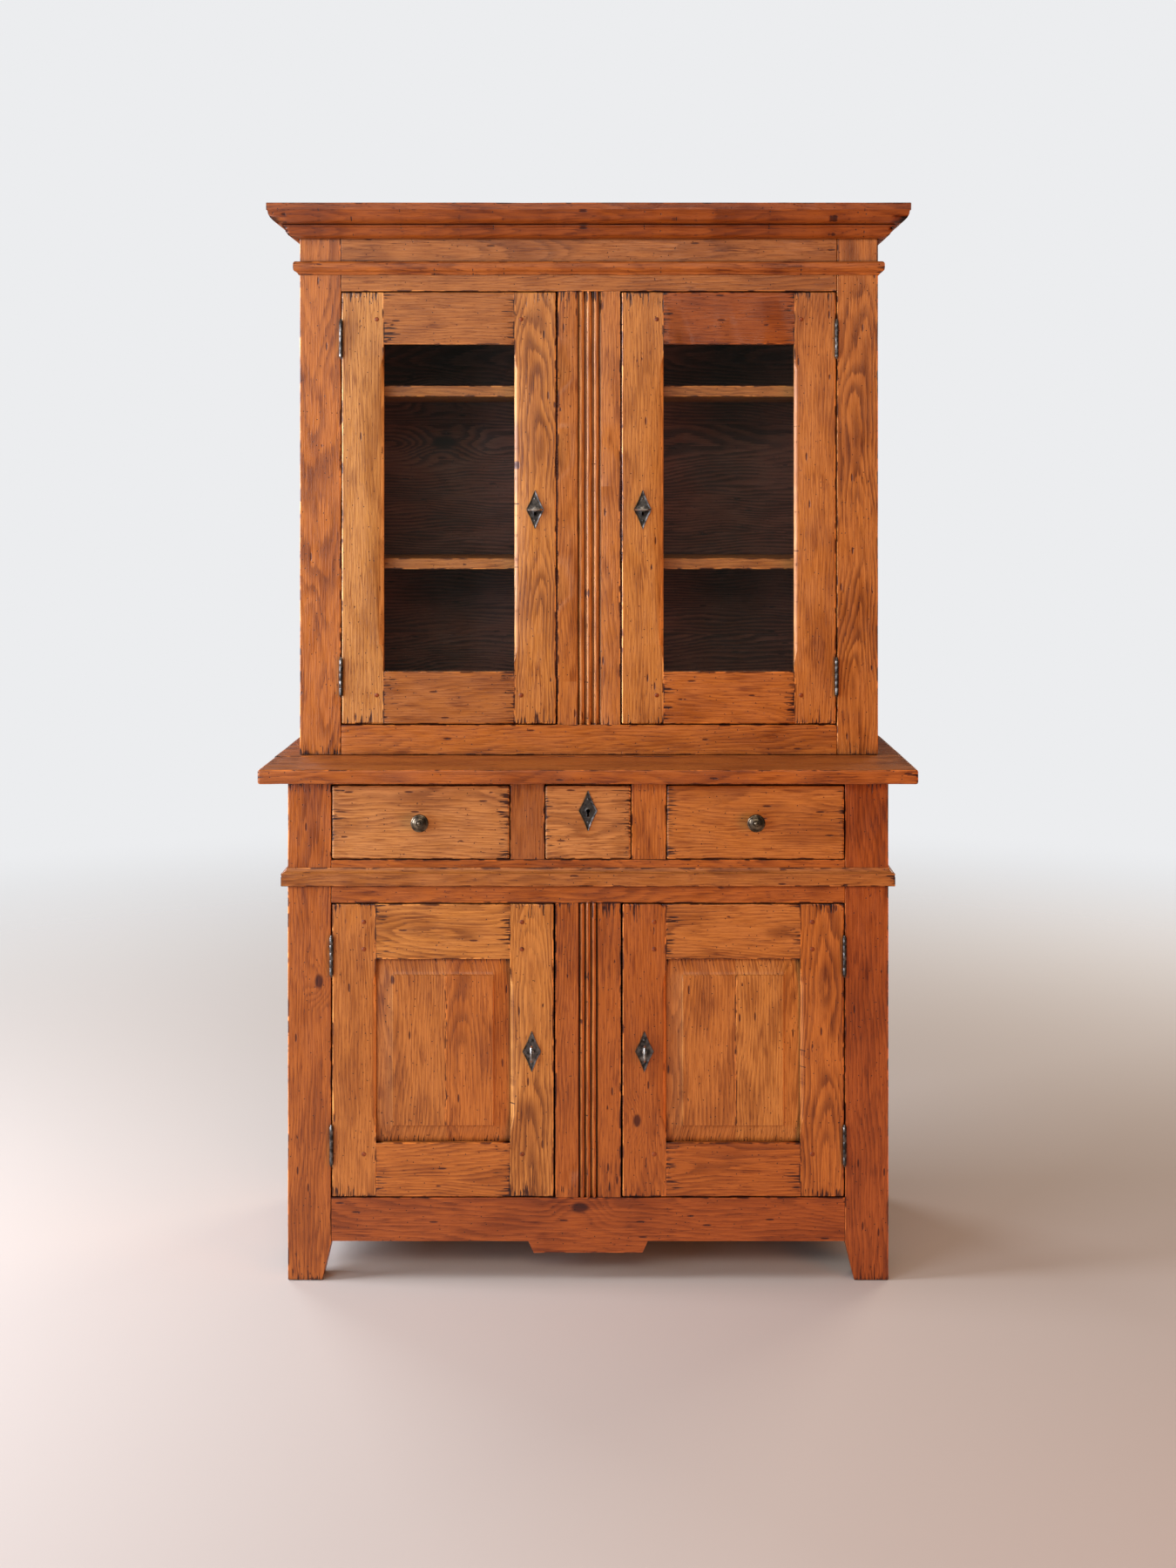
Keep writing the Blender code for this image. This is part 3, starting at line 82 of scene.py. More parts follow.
world = bpy.data.worlds.new("pale_backdrop")
world.use_nodes = True
scene.world = world
backdrop = world.node_tree
backdrop.nodes.clear()
seen = add(backdrop, "ShaderNodeBackground", [srgb("#ecedef"), 1.0])
dim_room = add(backdrop, "ShaderNodeBackground", [srgb("#f4ead9"), 0.07])
ray = add(backdrop, "ShaderNodeLightPath")
bounced = add(backdrop, "ShaderNodeMath", [(ray, "Diffuse Depth"), (ray, "Glossy Depth")], operation="ADD")
paned = add(
    backdrop, "ShaderNodeMath", [(ray, "Is Transmission Ray"), bounced], operation="SUBTRACT", use_clamp=True
)
direct = add(backdrop, "ShaderNodeMath", [(ray, "Is Camera Ray"), paned], operation="MAXIMUM")
chosen = add(backdrop, "ShaderNodeMixShader", [direct, dim_room, seen])
add(backdrop, "ShaderNodeOutputWorld", [chosen])

FLOOR_R = 5.0
paper, tree, shader = new_material("pale_floor_paper")
shader.inputs["Base Color"].default_value = srgb("#c6bbb1")
shader.inputs["Roughness"].default_value = 0.9
place = add(tree, "ShaderNodeNewGeometry")
away = add(tree, "ShaderNodeVectorMath", [(place, "Position")], operation="LENGTH")
fade = add(
    tree, "ShaderNodeMapRange", [(away, "Value"), 1.3, 4.6, 0.0, 1.0], interpolation_type="SMOOTHSTEP"
)
clear = add(tree, "ShaderNodeBsdfTransparent")
faded = add(tree, "ShaderNodeMixShader", [fade, (shader, "BSDF"), clear])
tree.links.new(faded.outputs[0], tree.nodes["Material Output"].inputs["Surface"])
bpy.ops.mesh.primitive_circle_add(vertices=96, radius=FLOOR_R, fill_type="NGON", location=(0, 0, -0.0005))
floor = bpy.context.object
floor.name = "studio_floor"
floor.data.materials.append(paper)

LAMPS = (  # name, place, aim, width and height in metres, watts, colour
    ("side_window_lamp", (-3.1, -0.45, 1.7), (0, -0.1, 1.1), 1.2, 1.7, 155, "#e8f0ff"),
    ("window_lamp", (-2.7, -2.7, 1.45), (0, 0, 0.7), 1.8, 2.0, 78, "#e6edff"),
    ("front_lamp", (-0.4, -4.0, 2.9), (0, 0, 0.8), 3.2, 1.0, 46, "#fff3e4"),
    ("warm_lamp", (2.7, -3.0, 0.9), (0.1, 0, 0.5), 1.8, 1.8, 64, "#ff9a4e"),
    ("ceiling_lamp", (0, -0.9, 3.6), (0, -0.3, 0), 3.0, 1.6, 12, "#fff6ec"),
    ("rear_left_lamp", (-2.6, 3.0, 2.2), (0, 0, 0.9), 1.8, 1.8, 75, "#f4f7ff"),
    ("rear_right_lamp", (2.6, 3.0, 2.0), (0, 0, 0.9), 1.8, 1.8, 65, "#fff0e0"),
)
for name, stand, aim, width, height, watts, colour in LAMPS:
    lamp = bpy.data.objects.new(name, bpy.data.lights.new(name, "AREA"))
    lamp.data.shape = "RECTANGLE"
    lamp.data.size = width
    lamp.data.size_y = height
    lamp.data.energy = watts
    lamp.data.color = srgb(colour)[:3]
    lamp.location = stand
    lamp.rotation_euler = (Vector(aim) - Vector(stand)).to_track_quat("-Z", "Y").to_euler()
    lamp.visible_transmission = False
    lamp.visible_glossy = name != "warm_lamp"
    scene.collection.objects.link(lamp)

EYE_X = 0.035
EYE_Z = 1.448
EYE_BACK = 3.45  # from the camera to the front of the base
base_lo, base_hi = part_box("base_side_left")
camera = bpy.data.objects.new("camera", bpy.data.cameras.new("camera"))
camera.location = (EYE_X, base_lo.y - EYE_BACK, EYE_Z)
camera.rotation_euler = (math.radians(90), 0, 0)
camera.data.sensor_width = 36
camera.data.lens = 43.1
camera.data.shift_x = -0.0122
camera.data.shift_y = -0.186
scene.collection.objects.link(camera)
scene.camera = camera

# ---------------------------------------------------------------- the base's posts, rails and sides
# Framed and panelled oak, sawn, planed, mortised and pegged, then waxed. Years of use have rubbed and
# nicked the arrises, opened drying checks at the ends of the boards and left dirt in every joint, where
# painted shade darkens them further.

OAK_TONES = {  # the wood under the wax, from the palest board to the darkest
    "straw": "#cb8e48",
    "honey": "#c8853d",
    "tan": "#c07935",
    "biscuit": "#c8894a",
    "amber": "#bd712c",
    "cinnamon": "#af6e32",
    "cocoa": "#a4622c",
    "tawny": "#b16424",
    "russet": "#a4561f",
    "chestnut": "#92471a",
    "umber": "#9a4f16",
    "raw": "#8f6a48",
    "smoke": "#6c3e2e",
    "soot": "#24140e",
}
RING_MM = 6.0  # growth rings, drawn about twice as wide as the 2-4 mm of the real boards so that they show
# Each figure's length along the grain and width across it, in millimetres. Fibres and pores are drawn
# two or three times wider than the real ones, which are too fine to show at this distance.
FIGURES = {
    "fibre": (52, 2.6),
    "pores": (14, 1.9),
    "flame": (170, 48),
    "smudge": (80, 30),
    "splits": (64, 3.6),
    "where": (46, 46),
    "grubby": (34, 30),
    "planed": (60, 26),
}


# The third argument sets how strong the dirt, the painted crevice shade and the painted highlight are.
def waxed_oak(name, roughness, dirt_and_painted_light):
    """Oak under wax: broad rings and short dark pores make the figure, the wax a low warm gloss."""
    made, tree, shader = new_material(name)
    soft = {"interpolation_type": "SMOOTHSTEP"}
    grain, board_mm, heart, knot = (
        (add(tree, "ShaderNodeAttribute", attribute_name=key), "Vector")
        for key in ("grain", "board", "heart", "knot")
    )
    tone = (add(tree, "ShaderNodeAttribute", attribute_name="tone"), "Color")
    seed, figure = (
        (add(tree, "ShaderNodeAttribute", attribute_name=key), "Fac") for key in ("seed", "figure")
    )
    spot = add(tree, "ShaderNodeSeparateXYZ", [grain])
    round_board = add(tree, "ShaderNodeMath", [(spot, "Y"), (spot, "Z")], operation="ADD")
    flat = add(tree, "ShaderNodeCombineXYZ", [(spot, "X"), round_board, 0.0])
    skin = add(tree, "ShaderNodeVectorMath", [seed, (311, 173, 0), flat], operation="MULTIPLY_ADD")
    seen = {}
    for key, (along, across) in FIGURES.items():
        spread = add(tree, "ShaderNodeVectorMath", [skin, (1 / along, 1 / across, 1)], operation="MULTIPLY")
        seen[key] = add(
            tree, "ShaderNodeTexNoise", {"Vector": spread, "Scale": 1.0, "Detail": 2.0}, noise_dimensions="2D"
        )

    # A knot, and the rings that bend round it.
    knot_at = add(tree, "ShaderNodeSeparateXYZ", [knot])
    along = add(tree, "ShaderNodeMath", [(spot, "X"), (knot_at, "X")], operation="SUBTRACT")
    squeezed = add(tree, "ShaderNodeMath", [along, 0.6], operation="MULTIPLY")
    beside = add(tree, "ShaderNodeMath", [(spot, "Y"), (knot_at, "Y")], operation="SUBTRACT")
    from_knot = add(tree, "ShaderNodeCombineXYZ", [squeezed, beside, 0.0])
    how_far = add(tree, "ShaderNodeVectorMath", [from_knot], operation="LENGTH")
    to_knot = add(tree, "ShaderNodeMath", [(how_far, "Value"), (knot_at, "Z")], operation="DIVIDE")
    swirl = add(tree, "ShaderNodeMapRange", [to_knot, 0.5, 4.0, 3.2, 0.0], **soft)
    core = add(tree, "ShaderNodeMapRange", [to_knot, 0.55, 1.15, 1.0, 0.0], **soft)

    # Rings round the pith, where the board's face cuts them.
    whole = add(tree, "ShaderNodeVectorMath", [seed, (311, 173, 97), grain], operation="MULTIPLY_ADD")
    slow = add(tree, "ShaderNodeVectorMath", [whole, (1 / 250, 1 / 75, 1 / 75)], operation="MULTIPLY")
    drift = add(tree, "ShaderNodeTexNoise", {"Vector": slow, "Scale": 1.0, "Detail": 1.5})
    centred = add(tree, "ShaderNodeVectorMath", [(drift, "Color"), (0.5, 0.5, 0.5)], operation="SUBTRACT")
    bent = add(tree, "ShaderNodeVectorMath", [centred, (0, 44, 44), grain], operation="MULTIPLY_ADD")
    here = add(tree, "ShaderNodeSeparateXYZ", [bent])
    pith = add(tree, "ShaderNodeSeparateXYZ", [heart])
    across = add(tree, "ShaderNodeMath", [(here, "Y"), (pith, "X")], operation="SUBTRACT")
    lean = add(tree, "ShaderNodeMath", [(here, "X"), (pith, "Z"), (pith, "Y")], operation="MULTIPLY_ADD")
    depth = add(tree, "ShaderNodeMath", [lean, (here, "Z")], operation="ADD")
    spoke = add(tree, "ShaderNodeCombineXYZ", [across, depth, 0.0])
    radius = add(tree, "ShaderNodeVectorMath", [spoke], operation="LENGTH")
    frayed = add(tree, "ShaderNodeMath", [seen["fibre"], 0.55, swirl], operation="MULTIPLY_ADD")
    count = add(tree, "ShaderNodeMath", [(radius, "Value"), 1 / RING_MM, frayed], operation="MULTIPLY_ADD")
    phase = add(tree, "ShaderNodeMath", [count], operation="FRACT")
    starts = add(tree, "ShaderNodeMapRange", [phase, 0.0, 0.12, 0.0, 1.0], **soft)
    ends = add(tree, "ShaderNodeMapRange", [phase, 0.18, 0.80, 1.0, 0.0], **soft)
    line = add(tree, "ShaderNodeMath", [starts, ends], operation="MULTIPLY")
    varied = add(tree, "ShaderNodeMapRange", [seen["flame"], 0.34, 0.58, 0.35, 1.0], **soft)
    drawn = add(tree, "ShaderNodeMath", [varied, figure], operation="MULTIPLY")
    ring = add(tree, "ShaderNodeMath", [line, drawn], operation="MULTIPLY")
    streak = add(tree, "ShaderNodeMapRange", [seen["fibre"], 0.36, 0.68, 0.0, 0.75], **soft)
    open_pore = add(tree, "ShaderNodeMapRange", [seen["pores"], 0.62, 0.72, 0.0, 0.8], **soft)
    porous = add(tree, "ShaderNodeMath", [line, 0.70, 0.22], operation="MULTIPLY_ADD")
    pore = add(tree, "ShaderNodeMath", [open_pore, porous], operation="MULTIPLY")
    flame = add(tree, "ShaderNodeMapRange", [seen["flame"], 0.46, 0.70, 0.0, 0.7], **soft)
    smoky = add(tree, "ShaderNodeMapRange", [seen["smudge"], 0.58, 0.72, 0.0, 1.0], **soft)
    smudge = add(tree, "ShaderNodeMath", [smoky, streak], operation="MULTIPLY")

    # How far this spot is from the board's ends, edges and arrises, in millimetres.
    far = add(tree, "ShaderNodeVectorMath", [board_mm, grain], operation="SUBTRACT")
    far_side = add(tree, "ShaderNodeSeparateXYZ", [far])
    to_end, to_edge, to_face = (
        add(tree, "ShaderNodeMath", [(spot, axis), (far_side, axis)], operation="MINIMUM") for axis in "XYZ"
    )
    pairs = [
        add(tree, "ShaderNodeMath", [one, other], operation="MAXIMUM")
        for one, other in ((to_end, to_edge), (to_edge, to_face), (to_end, to_face))
    ]
    nearer = add(tree, "ShaderNodeMath", pairs[:2], operation="MINIMUM")
    arris = add(tree, "ShaderNodeMath", [nearer, pairs[2]], operation="MINIMUM")

    # Dirt and rubbing along the arrises, by turns.
    reach = add(tree, "ShaderNodeMapRange", [seen["where"], 0.35, 0.65, 1.0, 3.6], **soft)
    share = add(tree, "ShaderNodeMath", [arris, reach], operation="DIVIDE")
    band = add(tree, "ShaderNodeMapRange", [share, 0.45, 1.0, 1.0, 0.0], **soft)
    grubby = add(tree, "ShaderNodeMapRange", [seen["grubby"], 0.46, 0.56, 0.0, dirt_and_painted_light], **soft)
    dirt = add(tree, "ShaderNodeMath", [band, grubby], operation="MULTIPLY")
    rub = add(tree, "ShaderNodeMath", [band, dirt], operation="SUBTRACT")

    # Painted highlight: slanting cuts and reed flanks are painted paler and bluer, as the window's gleam on the
    # wax.
    turned_to = add(tree, "ShaderNodeSeparateXYZ", [(add(tree, "ShaderNodeTexCoord"), "Normal")])
    slant = add(tree, "ShaderNodeMath", [(turned_to, "X"), (turned_to, "Y")], operation="MULTIPLY")
    steep = add(tree, "ShaderNodeMath", [slant], operation="ABSOLUTE")
    painted_glint = add(tree, "ShaderNodeMapRange", [steep, 0.34, 0.48, 0.0, dirt_and_painted_light], **soft)

    # Drying checks that run in from the ends, in patches.
    opening = add(tree, "ShaderNodeMath", [to_end, -0.0080, seen["splits"]], operation="MULTIPLY_ADD")
    torn = add(tree, "ShaderNodeMapRange", [opening, 0.49, 0.54, 0.0, 1.0], **soft)
    patch = add(tree, "ShaderNodeMapRange", [seen["where"], 0.40, 0.52, 0.15, 1.0], **soft)
    check = add(tree, "ShaderNodeMath", [torn, patch], operation="MULTIPLY")

    # Worm holes, mostly in clusters, and knocks along the grain.
    marks = []
    for long, wide, size, chosen in ((15, 15, 0.085, 0.92), (130, 28, 0.075, 0.87)):
        spread = add(tree, "ShaderNodeVectorMath", [skin, (1 / long, 1 / wide, 1)], operation="MULTIPLY")
        cell = add(tree, "ShaderNodeTexVoronoi", {"Vector": spread, "Scale": 1.0}, voronoi_dimensions="2D")
        inside = add(
            tree, "ShaderNodeMapRange", [(cell, "Distance"), size * 0.6, size, 1.0, 0.0], **soft
        )
        lot = add(tree, "ShaderNodeSeparateXYZ", [(cell, "Color")])
        luck = add(tree, "ShaderNodeMath", [(lot, "X"), 0.55, seen["where"]], operation="MULTIPLY_ADD")
        picked = add(tree, "ShaderNodeMapRange", [luck, chosen, chosen + 0.02, 0.0, 1.0])
        marks.append(add(tree, "ShaderNodeMath", [inside, picked], operation="MULTIPLY"))
    hole, knock = marks

    # Painted shade: ambient occlusion darkens grooves, corners and the gaps between parts, along with the dirt that
    # lodges there.
    shut_in = add(tree, "ShaderNodeAmbientOcclusion", {"Distance": 0.014}, samples=4)
    painted_crevice_shade = add(tree, "ShaderNodeMapRange", [(shut_in, "AO"), 0.30, 0.80, dirt_and_painted_light, 0.0], **soft)

    colour = tone
    for amount, over in (
        (ring, (0.38, 0.28, 0.22, 1)),
        (streak, (0.66, 0.56, 0.45, 1)),
        (flame, (0.68, 0.58, 0.47, 1)),
        (smudge, (0.58, 0.46, 0.38, 1)),
        (pore, (0.38, 0.26, 0.18, 1)),
        (core, (0.22, 0.14, 0.11, 1)),
        (rub, (1.50, 1.52, 1.58, 1)),
        # painted highlight on the slanting faces
        (painted_glint, (1.60, 1.80, 2.30, 1)),
        (dirt, (0.22, 0.14, 0.10, 1)),
        (check, (0.12, 0.07, 0.05, 1)),
        (hole, (0.10, 0.06, 0.04, 1)),
        (knock, (0.24, 0.15, 0.11, 1)),
        # painted shade in crevices and gaps
        (painted_crevice_shade, (0.10, 0.055, 0.04, 1)),
    ):
        mixed = {0: amount, 6: colour, 7: over}
        colour = (add(tree, "ShaderNodeMix", mixed, data_type="RGBA", blend_type="MULTIPLY"), 2)
    tree.links.new(colour[0].outputs[2], shader.inputs["Base Color"])

    uneven = add(tree, "ShaderNodeMapRange", [seen["planed"], 0.30, 0.70, roughness - 0.06, roughness + 0.10])
    sheen = add(tree, "ShaderNodeMath", [pore, 0.25, uneven], operation="MULTIPLY_ADD")
    tree.links.new(sheen.outputs[0], shader.inputs["Roughness"])
    sunk = add(tree, "ShaderNodeMath", [pore, 0.35, check], operation="MULTIPLY_ADD")
    holed = add(tree, "ShaderNodeMath", [hole, 1.2, sunk], operation="MULTIPLY_ADD")
    knocked = add(tree, "ShaderNodeMath", [knock, 1.0, holed], operation="MULTIPLY_ADD")
    rolling = add(tree, "ShaderNodeMath", [seen["planed"], 0.9, seen["fibre"]], operation="MULTIPLY_ADD")
    height = add(tree, "ShaderNodeMath", [rolling, knocked], operation="SUBTRACT")
    bump = add(tree, "ShaderNodeBump", {"Height": height, "Strength": 0.5, "Distance": 0.0009})
    tree.links.new(bump.outputs[0], shader.inputs["Normal"])
    shader.inputs["IOR"].default_value = 1.46
    return made


OAK = waxed_oak("waxed_oak", 0.38, 0.95)
STAINED = waxed_oak("dark_stained_oak", 0.55, 0.9)
PLAIN = waxed_oak("planed_bare_oak", 0.74, 0.35)
AXES = (Vector((1, 0, 0)), Vector((0, 1, 0)), Vector((0, 0, 1)))
NO_KNOT = (-9000.0, -9000.0, 1.0)
boards_made = 0


def cut_off(bm, point, away):
    """Saws off what lies beyond a plane and closes the cut."""
    parts = bm.verts[:] + bm.edges[:] + bm.faces[:]
    bmesh.ops.bisect_plane(bm, geom=parts, dist=1e-7, plane_co=point, plane_no=away, clear_outer=True)
    rim = [e for e in bm.edges if e.is_boundary]
    if rim:
        bmesh.ops.triangle_fill(bm, use_beauty=True, use_dissolve=True, edges=rim, normal=Vector(away))


def sawn(node, low=(None,) * 3, high=(None,) * 3, planes=()):
    """The part of a CAD piece between two corners and behind any other planes, as a closed mesh."""
    bm = bmesh.new()
    bm.from_mesh(nodes[node].data)
    bmesh.ops.remove_doubles(bm, verts=bm.verts, dist=1e-6)
    bmesh.ops.dissolve_limit(bm, angle_limit=math.radians(0.4), verts=bm.verts, edges=bm.edges)
    cuts = list(planes)
    for axis, way in enumerate(AXES):
        cuts += [(way * low[axis], -way)] if low[axis] is not None else []
        cuts += [(way * high[axis], way)] if high[axis] is not None else []
    for point, away in cuts:
        cut_off(bm, point, away)
    bmesh.ops.recalc_face_normals(bm, faces=bm.faces)
    return bm


def slice_at(bm, axis, places):
    """Adds edge loops across the mesh at these places along an axis."""
    for place in places:
        parts = bm.verts[:] + bm.edges[:] + bm.faces[:]
        bmesh.ops.bisect_plane(
            bm, geom=parts, dist=1e-6, plane_co=AXES[axis] * place, plane_no=AXES[axis]
        )


def corners_of(bm):
    lo = Vector([min(v.co[i] for v in bm.verts) for i in range(3)])
    hi = Vector([max(v.co[i] for v in bm.verts) for i in range(3)])
    return lo, hi


def rounded_front(bm, left=0.0, right=0.0, bottom=0.0, top=0.0, share=0.55, seed=0.0):
    """Rubs the front edges of a board down to a quarter round, more in some places than others."""
    lo, hi = corners_of(bm)
    sides = [(0, lo.x, 1, left), (0, hi.x, -1, right), (2, lo.z, 1, bottom), (2, hi.z, -1, top)]
    sides = [s for s in sides if s[3]]
    for axis, edge, inward, reach in sides:
        slice_at(bm, axis, [edge + inward * reach * part for part in (0.134, 0.5, 1.0)])
    for axis, edge, inward, reach in sides:
        other = 2 - axis
        for vert in bm.verts:
            off = (vert.co[axis] - edge) * inward
            if vert.co.y < lo.y + 0.0026 and off < reach:
                worn = 0.8 + 0.9 * noise.noise(Vector((vert.co[other] * 23, edge * 7, seed)))
                fall = share * reach * worn * (1 - math.sqrt(max(0.0, 1 - (1 - off / reach) ** 2)))
                vert.co.y = max(vert.co.y, lo.y + fall)


def board(name, bm, body, grain, tone, node=None, **look):
    """Finishes a sawn board: eased arrises, small waves from use, and its own grain. look: arris (m), wave
    (m), step (m) between edge loops, heart (the pith's place across the face, as a share of the width),
    figure (how strong the rings show), knot (share of the length, share of the width, radius in mm),
    finish, and slot, which is not used."""
    global boards_made
    boards_made += 1
    seed = float(boards_made)
    lo, hi = corners_of(bm)
    size = hi - lo
    u = "xyz".index(grain)
    v, w = sorted((i for i in range(3) if i != u), key=lambda i: -size[i])
    sharp = [
        e
        for e in bm.edges
        if e.is_manifold and e.is_convex and e.calc_length() > 0.012 and e.calc_face_angle() > math.radians(50)
    ]
    arris = look.get("arris", 0.0012)
    if arris and sharp:
        bmesh.ops.bevel(bm, geom=sharp, offset=arris, segments=3, profile=0.5, affect="EDGES", clamp_overlap=True)
    count = int(size[u] / look.get("step", 0.04))
    slice_at(bm, u, [lo[u] + size[u] * i / count for i in range(1, count)])
    wave = look.get("wave", 0.0006)
    for vert in bm.verts:
        push = noise.noise_vector(vert.co * 11 + Vector((seed * 3.1, 0, 0))) * wave
        push += noise.noise_vector(vert.co * 37 + Vector((0, seed * 2.3, 0))) * wave * 0.6
        push[u] *= 0.3
        for i in range(3):
            vert.co[i] = min(max(vert.co[i] + push[i], lo[i]), hi[i])
    mesh = bpy.data.meshes.new(name)
    bm.to_mesh(mesh)
    bm.free()
    mesh.shade_smooth()
    mesh.set_sharp_from_angle(angle=math.radians(38))

    slope = 0.055 if boards_made % 2 else -0.055
    near_end = 0 if slope > 0 else 55 * size[u]
    knot = look.get("knot")
    fixed = {
        "board": (1000 * size[u], 1000 * size[v], 1000 * size[w]),
        "heart": (
            1000 * size[v] * look.get("heart", 0.5 + 0.75 * math.sin(seed * 2.4)),
            26 + 20 * math.sin(seed * 1.7) + near_end,
            slope,
        ),
        "knot": (1000 * size[u] * knot[0], 1000 * size[v] * knot[1], knot[2]) if knot else NO_KNOT,
    }
    for key, value in fixed.items():
        mesh.attributes.new(key, "FLOAT_VECTOR", "POINT").data.foreach_set("vector", value * len(mesh.vertices))
    places = [1000 * (vert.co[k] - lo[k]) for vert in mesh.vertices for k in (u, v, w)]
    mesh.attributes.new("grain", "FLOAT_VECTOR", "POINT").data.foreach_set("vector", places)
    shade = srgb(OAK_TONES[tone]) * len(mesh.vertices)
    mesh.attributes.new("tone", "FLOAT_COLOR", "POINT").data.foreach_set("color", shade)
    for key, value in (("seed", seed), ("figure", look.get("figure", 0.45))):
        mesh.attributes.new(key, "FLOAT", "POINT").data.foreach_set("value", [value] * len(mesh.vertices))
    piece = bpy.data.objects.new(name, mesh)
    scene.collection.objects.link(piece)
    mesh.materials.append(look.get("finish", OAK))
    piece.modifiers.new("flat_faces", "WEIGHTED_NORMAL").keep_sharp = True
    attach(piece, body)
    if node:
        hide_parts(node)
    return piece

POST_D = 0.045
PANEL_EDGE = 0.035  # from the posts to the side panel
SIDE_RAIL_LAP = 0.010
bottom_lo, bottom_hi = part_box("base_bottom_rail")
middle_lo, middle_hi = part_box("base_middle_rail")
SIDE_TONES = {
    "left": ("tawny", "russet", "tawny", "amber"),
    "right": ("russet", "russet", "russet", "tawny"),
}
for word, (post_tone, back_tone, rail_tone, panel_tone) in SIDE_TONES.items():
    node = "base_side_" + word
    front, back = base_lo.y + POST_D, base_hi.y - POST_D
    z0, z1 = bottom_hi.z + SIDE_RAIL_LAP, middle_lo.z - SIDE_RAIL_LAP
    y0, y1 = front + PANEL_EDGE, back - PANEL_EDGE
    post = sawn(node, high=(None, front, None))
    knot = (0.60, 0.72, 9.0) if word == "left" else None
    board("base_post_" + word, post, "carcass", "z", post_tone, node, step=0.03, knot=knot, heart=1.3)
    board("base_back_post_" + word, sawn(node, (None, back, None)), "carcass", "z", back_tone, node)
    for name, low, high, run in (
        ("top_rail", (None, front, z1), (None, back, None), "y"),
        ("bottom_rail", (None, front, None), (None, back, z0), "y"),
        ("front_stile", (None, front, z0), (None, y0, z1), "z"),
        ("back_stile", (None, y1, z0), (None, back, z1), "z"),
    ):
        board(f"base_{name}_{word}", sawn(node, low, high), "carcass", run, rail_tone, node)
    panel = sawn(node, (None, y0, z0), (None, y1, z1))
    board("base_side_panel_" + word, panel, "carcass", "z", panel_tone, node, wave=0.0003)

board("middle_rail_board", sawn("base_middle_rail"), "carcass", "x", "tawny", "base_middle_rail", heart=0.4)
apron_knot = (0.485, 0.82, 11.0)
board("apron", sawn("base_bottom_rail"), "carcass", "x", "russet", "base_bottom_rail", knot=apron_knot)
for word, tone in (("left", "cocoa"), ("right", "amber")):
    node = "drawer_divider_" + word
    board(node + "_board", sawn(node), "carcass", "z", tone, node, heart=1.4)

REED_PITCH = {"base_mullion": 0.0109, "upper_mullion": 0.0142}
REED_HALF = 0.37  # half a reed's width, as a share of the pitch: the rest is the groove
REED_D = 0.0060
MULLION_RAILS = {
    "base_mullion": ("base_bottom_rail", "base_middle_rail"),
    "upper_mullion": ("upper_bottom_rail", "frieze_rail"),
}
MULLION_HALF = 0.0600  # worn a little narrower than when it was cut


def reeded(node):
    """A mullion with three half-round reeds down its face."""
    low_rail, high_rail = MULLION_RAILS[node]
    foot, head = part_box(low_rail)[1].z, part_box(high_rail)[0].z
    bm = sawn(node, (-MULLION_HALF, None, foot), (MULLION_HALF, None, head))
    pitch = REED_PITCH[node]
    front = corners_of(bm)[0].y
    edge = 1.5 * pitch
    turns = [math.radians(22.5 * k) for k in range(-4, 5)]
    slice_at(bm, 0, [(reed + REED_HALF * math.sin(turn)) * pitch for reed in (-1, 0, 1) for turn in turns])
    slice_at(bm, 0, [-edge - 0.0022, edge + 0.0022])
    for vert in bm.verts:
        x = abs(vert.co.x)
        if vert.co.y < front + 0.0032 and x < edge + 0.0023:
            place = (x / pitch + 0.5) % 1 - 0.5
            hollow = 1 - math.sqrt(max(0.0, 1 - (place / REED_HALF) ** 2)) if x < edge - 1e-6 else 1
            if x > edge + 1e-6:
                hollow = max(0.0, 1 - (x - edge) / 0.0022)
            vert.co.y = front + REED_D * hollow
    return bm


board("base_mullion_reeded", reeded("base_mullion"), "carcass", "z", "tawny", "base_mullion", arris=0.0018)

# ---------------------------------------------------------------- floor, deck, back and worktop
# The hidden boards are thinner and only planed. The back boards are nailed in a rebate. The worktop is
# glued up from three boards, with its ends nibbled and its front edge rubbed round.

plain = {"finish": PLAIN, "slot": "plain_boards", "step": 0.1}
board("base_floor_board", sawn("base_floor"), "carcass", "x", "raw", "base_floor", **plain)
board("drawer_deck_board", sawn("drawer_deck"), "carcass", "x", "raw", "drawer_deck", **plain)
BACK_BOARDS = (
    ("base_back", (0.262, 0.431, 0.588, 0.757), "raw", {"finish": PLAIN, "slot": "plain_boards"}),
    ("upper_back", (1.148, 1.361, 1.583, 1.792), "smoke", {"finish": STAINED, "slot": "dark_boards"}),
)
SCARF = Vector((0, 1, 1)).normalized()  # the slant of the boards' joints, which keeps daylight out
UPPER_BACK_KNOTS = {2: (0.215, 0.84, 17.0), 3: (0.20, 0.36, 14.0)}
for node, levels, tone, look in BACK_BOARDS:
    middle = sum(edge.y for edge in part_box(node)) / 2
    edges = [None, *(Vector((0, middle, level)) for level in levels), None]
    for i in range(len(levels) + 1):
        part = sawn(node, planes=[(joint, SCARF * way) for joint, way in zip(edges[i : i + 2], (-1, 1)) if joint])
        knot = UPPER_BACK_KNOTS.get(i) if node == "upper_back" else None
        board(
            f"{node}_board_{i + 1}", part, "carcass", "x", tone, node, arris=0.0016, step=0.06, knot=knot, figure=1.7, **look
        )

top_lo, top_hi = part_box("worktop")
joint_1 = top_lo.y + 0.175
joint_2 = top_lo.y + 0.342
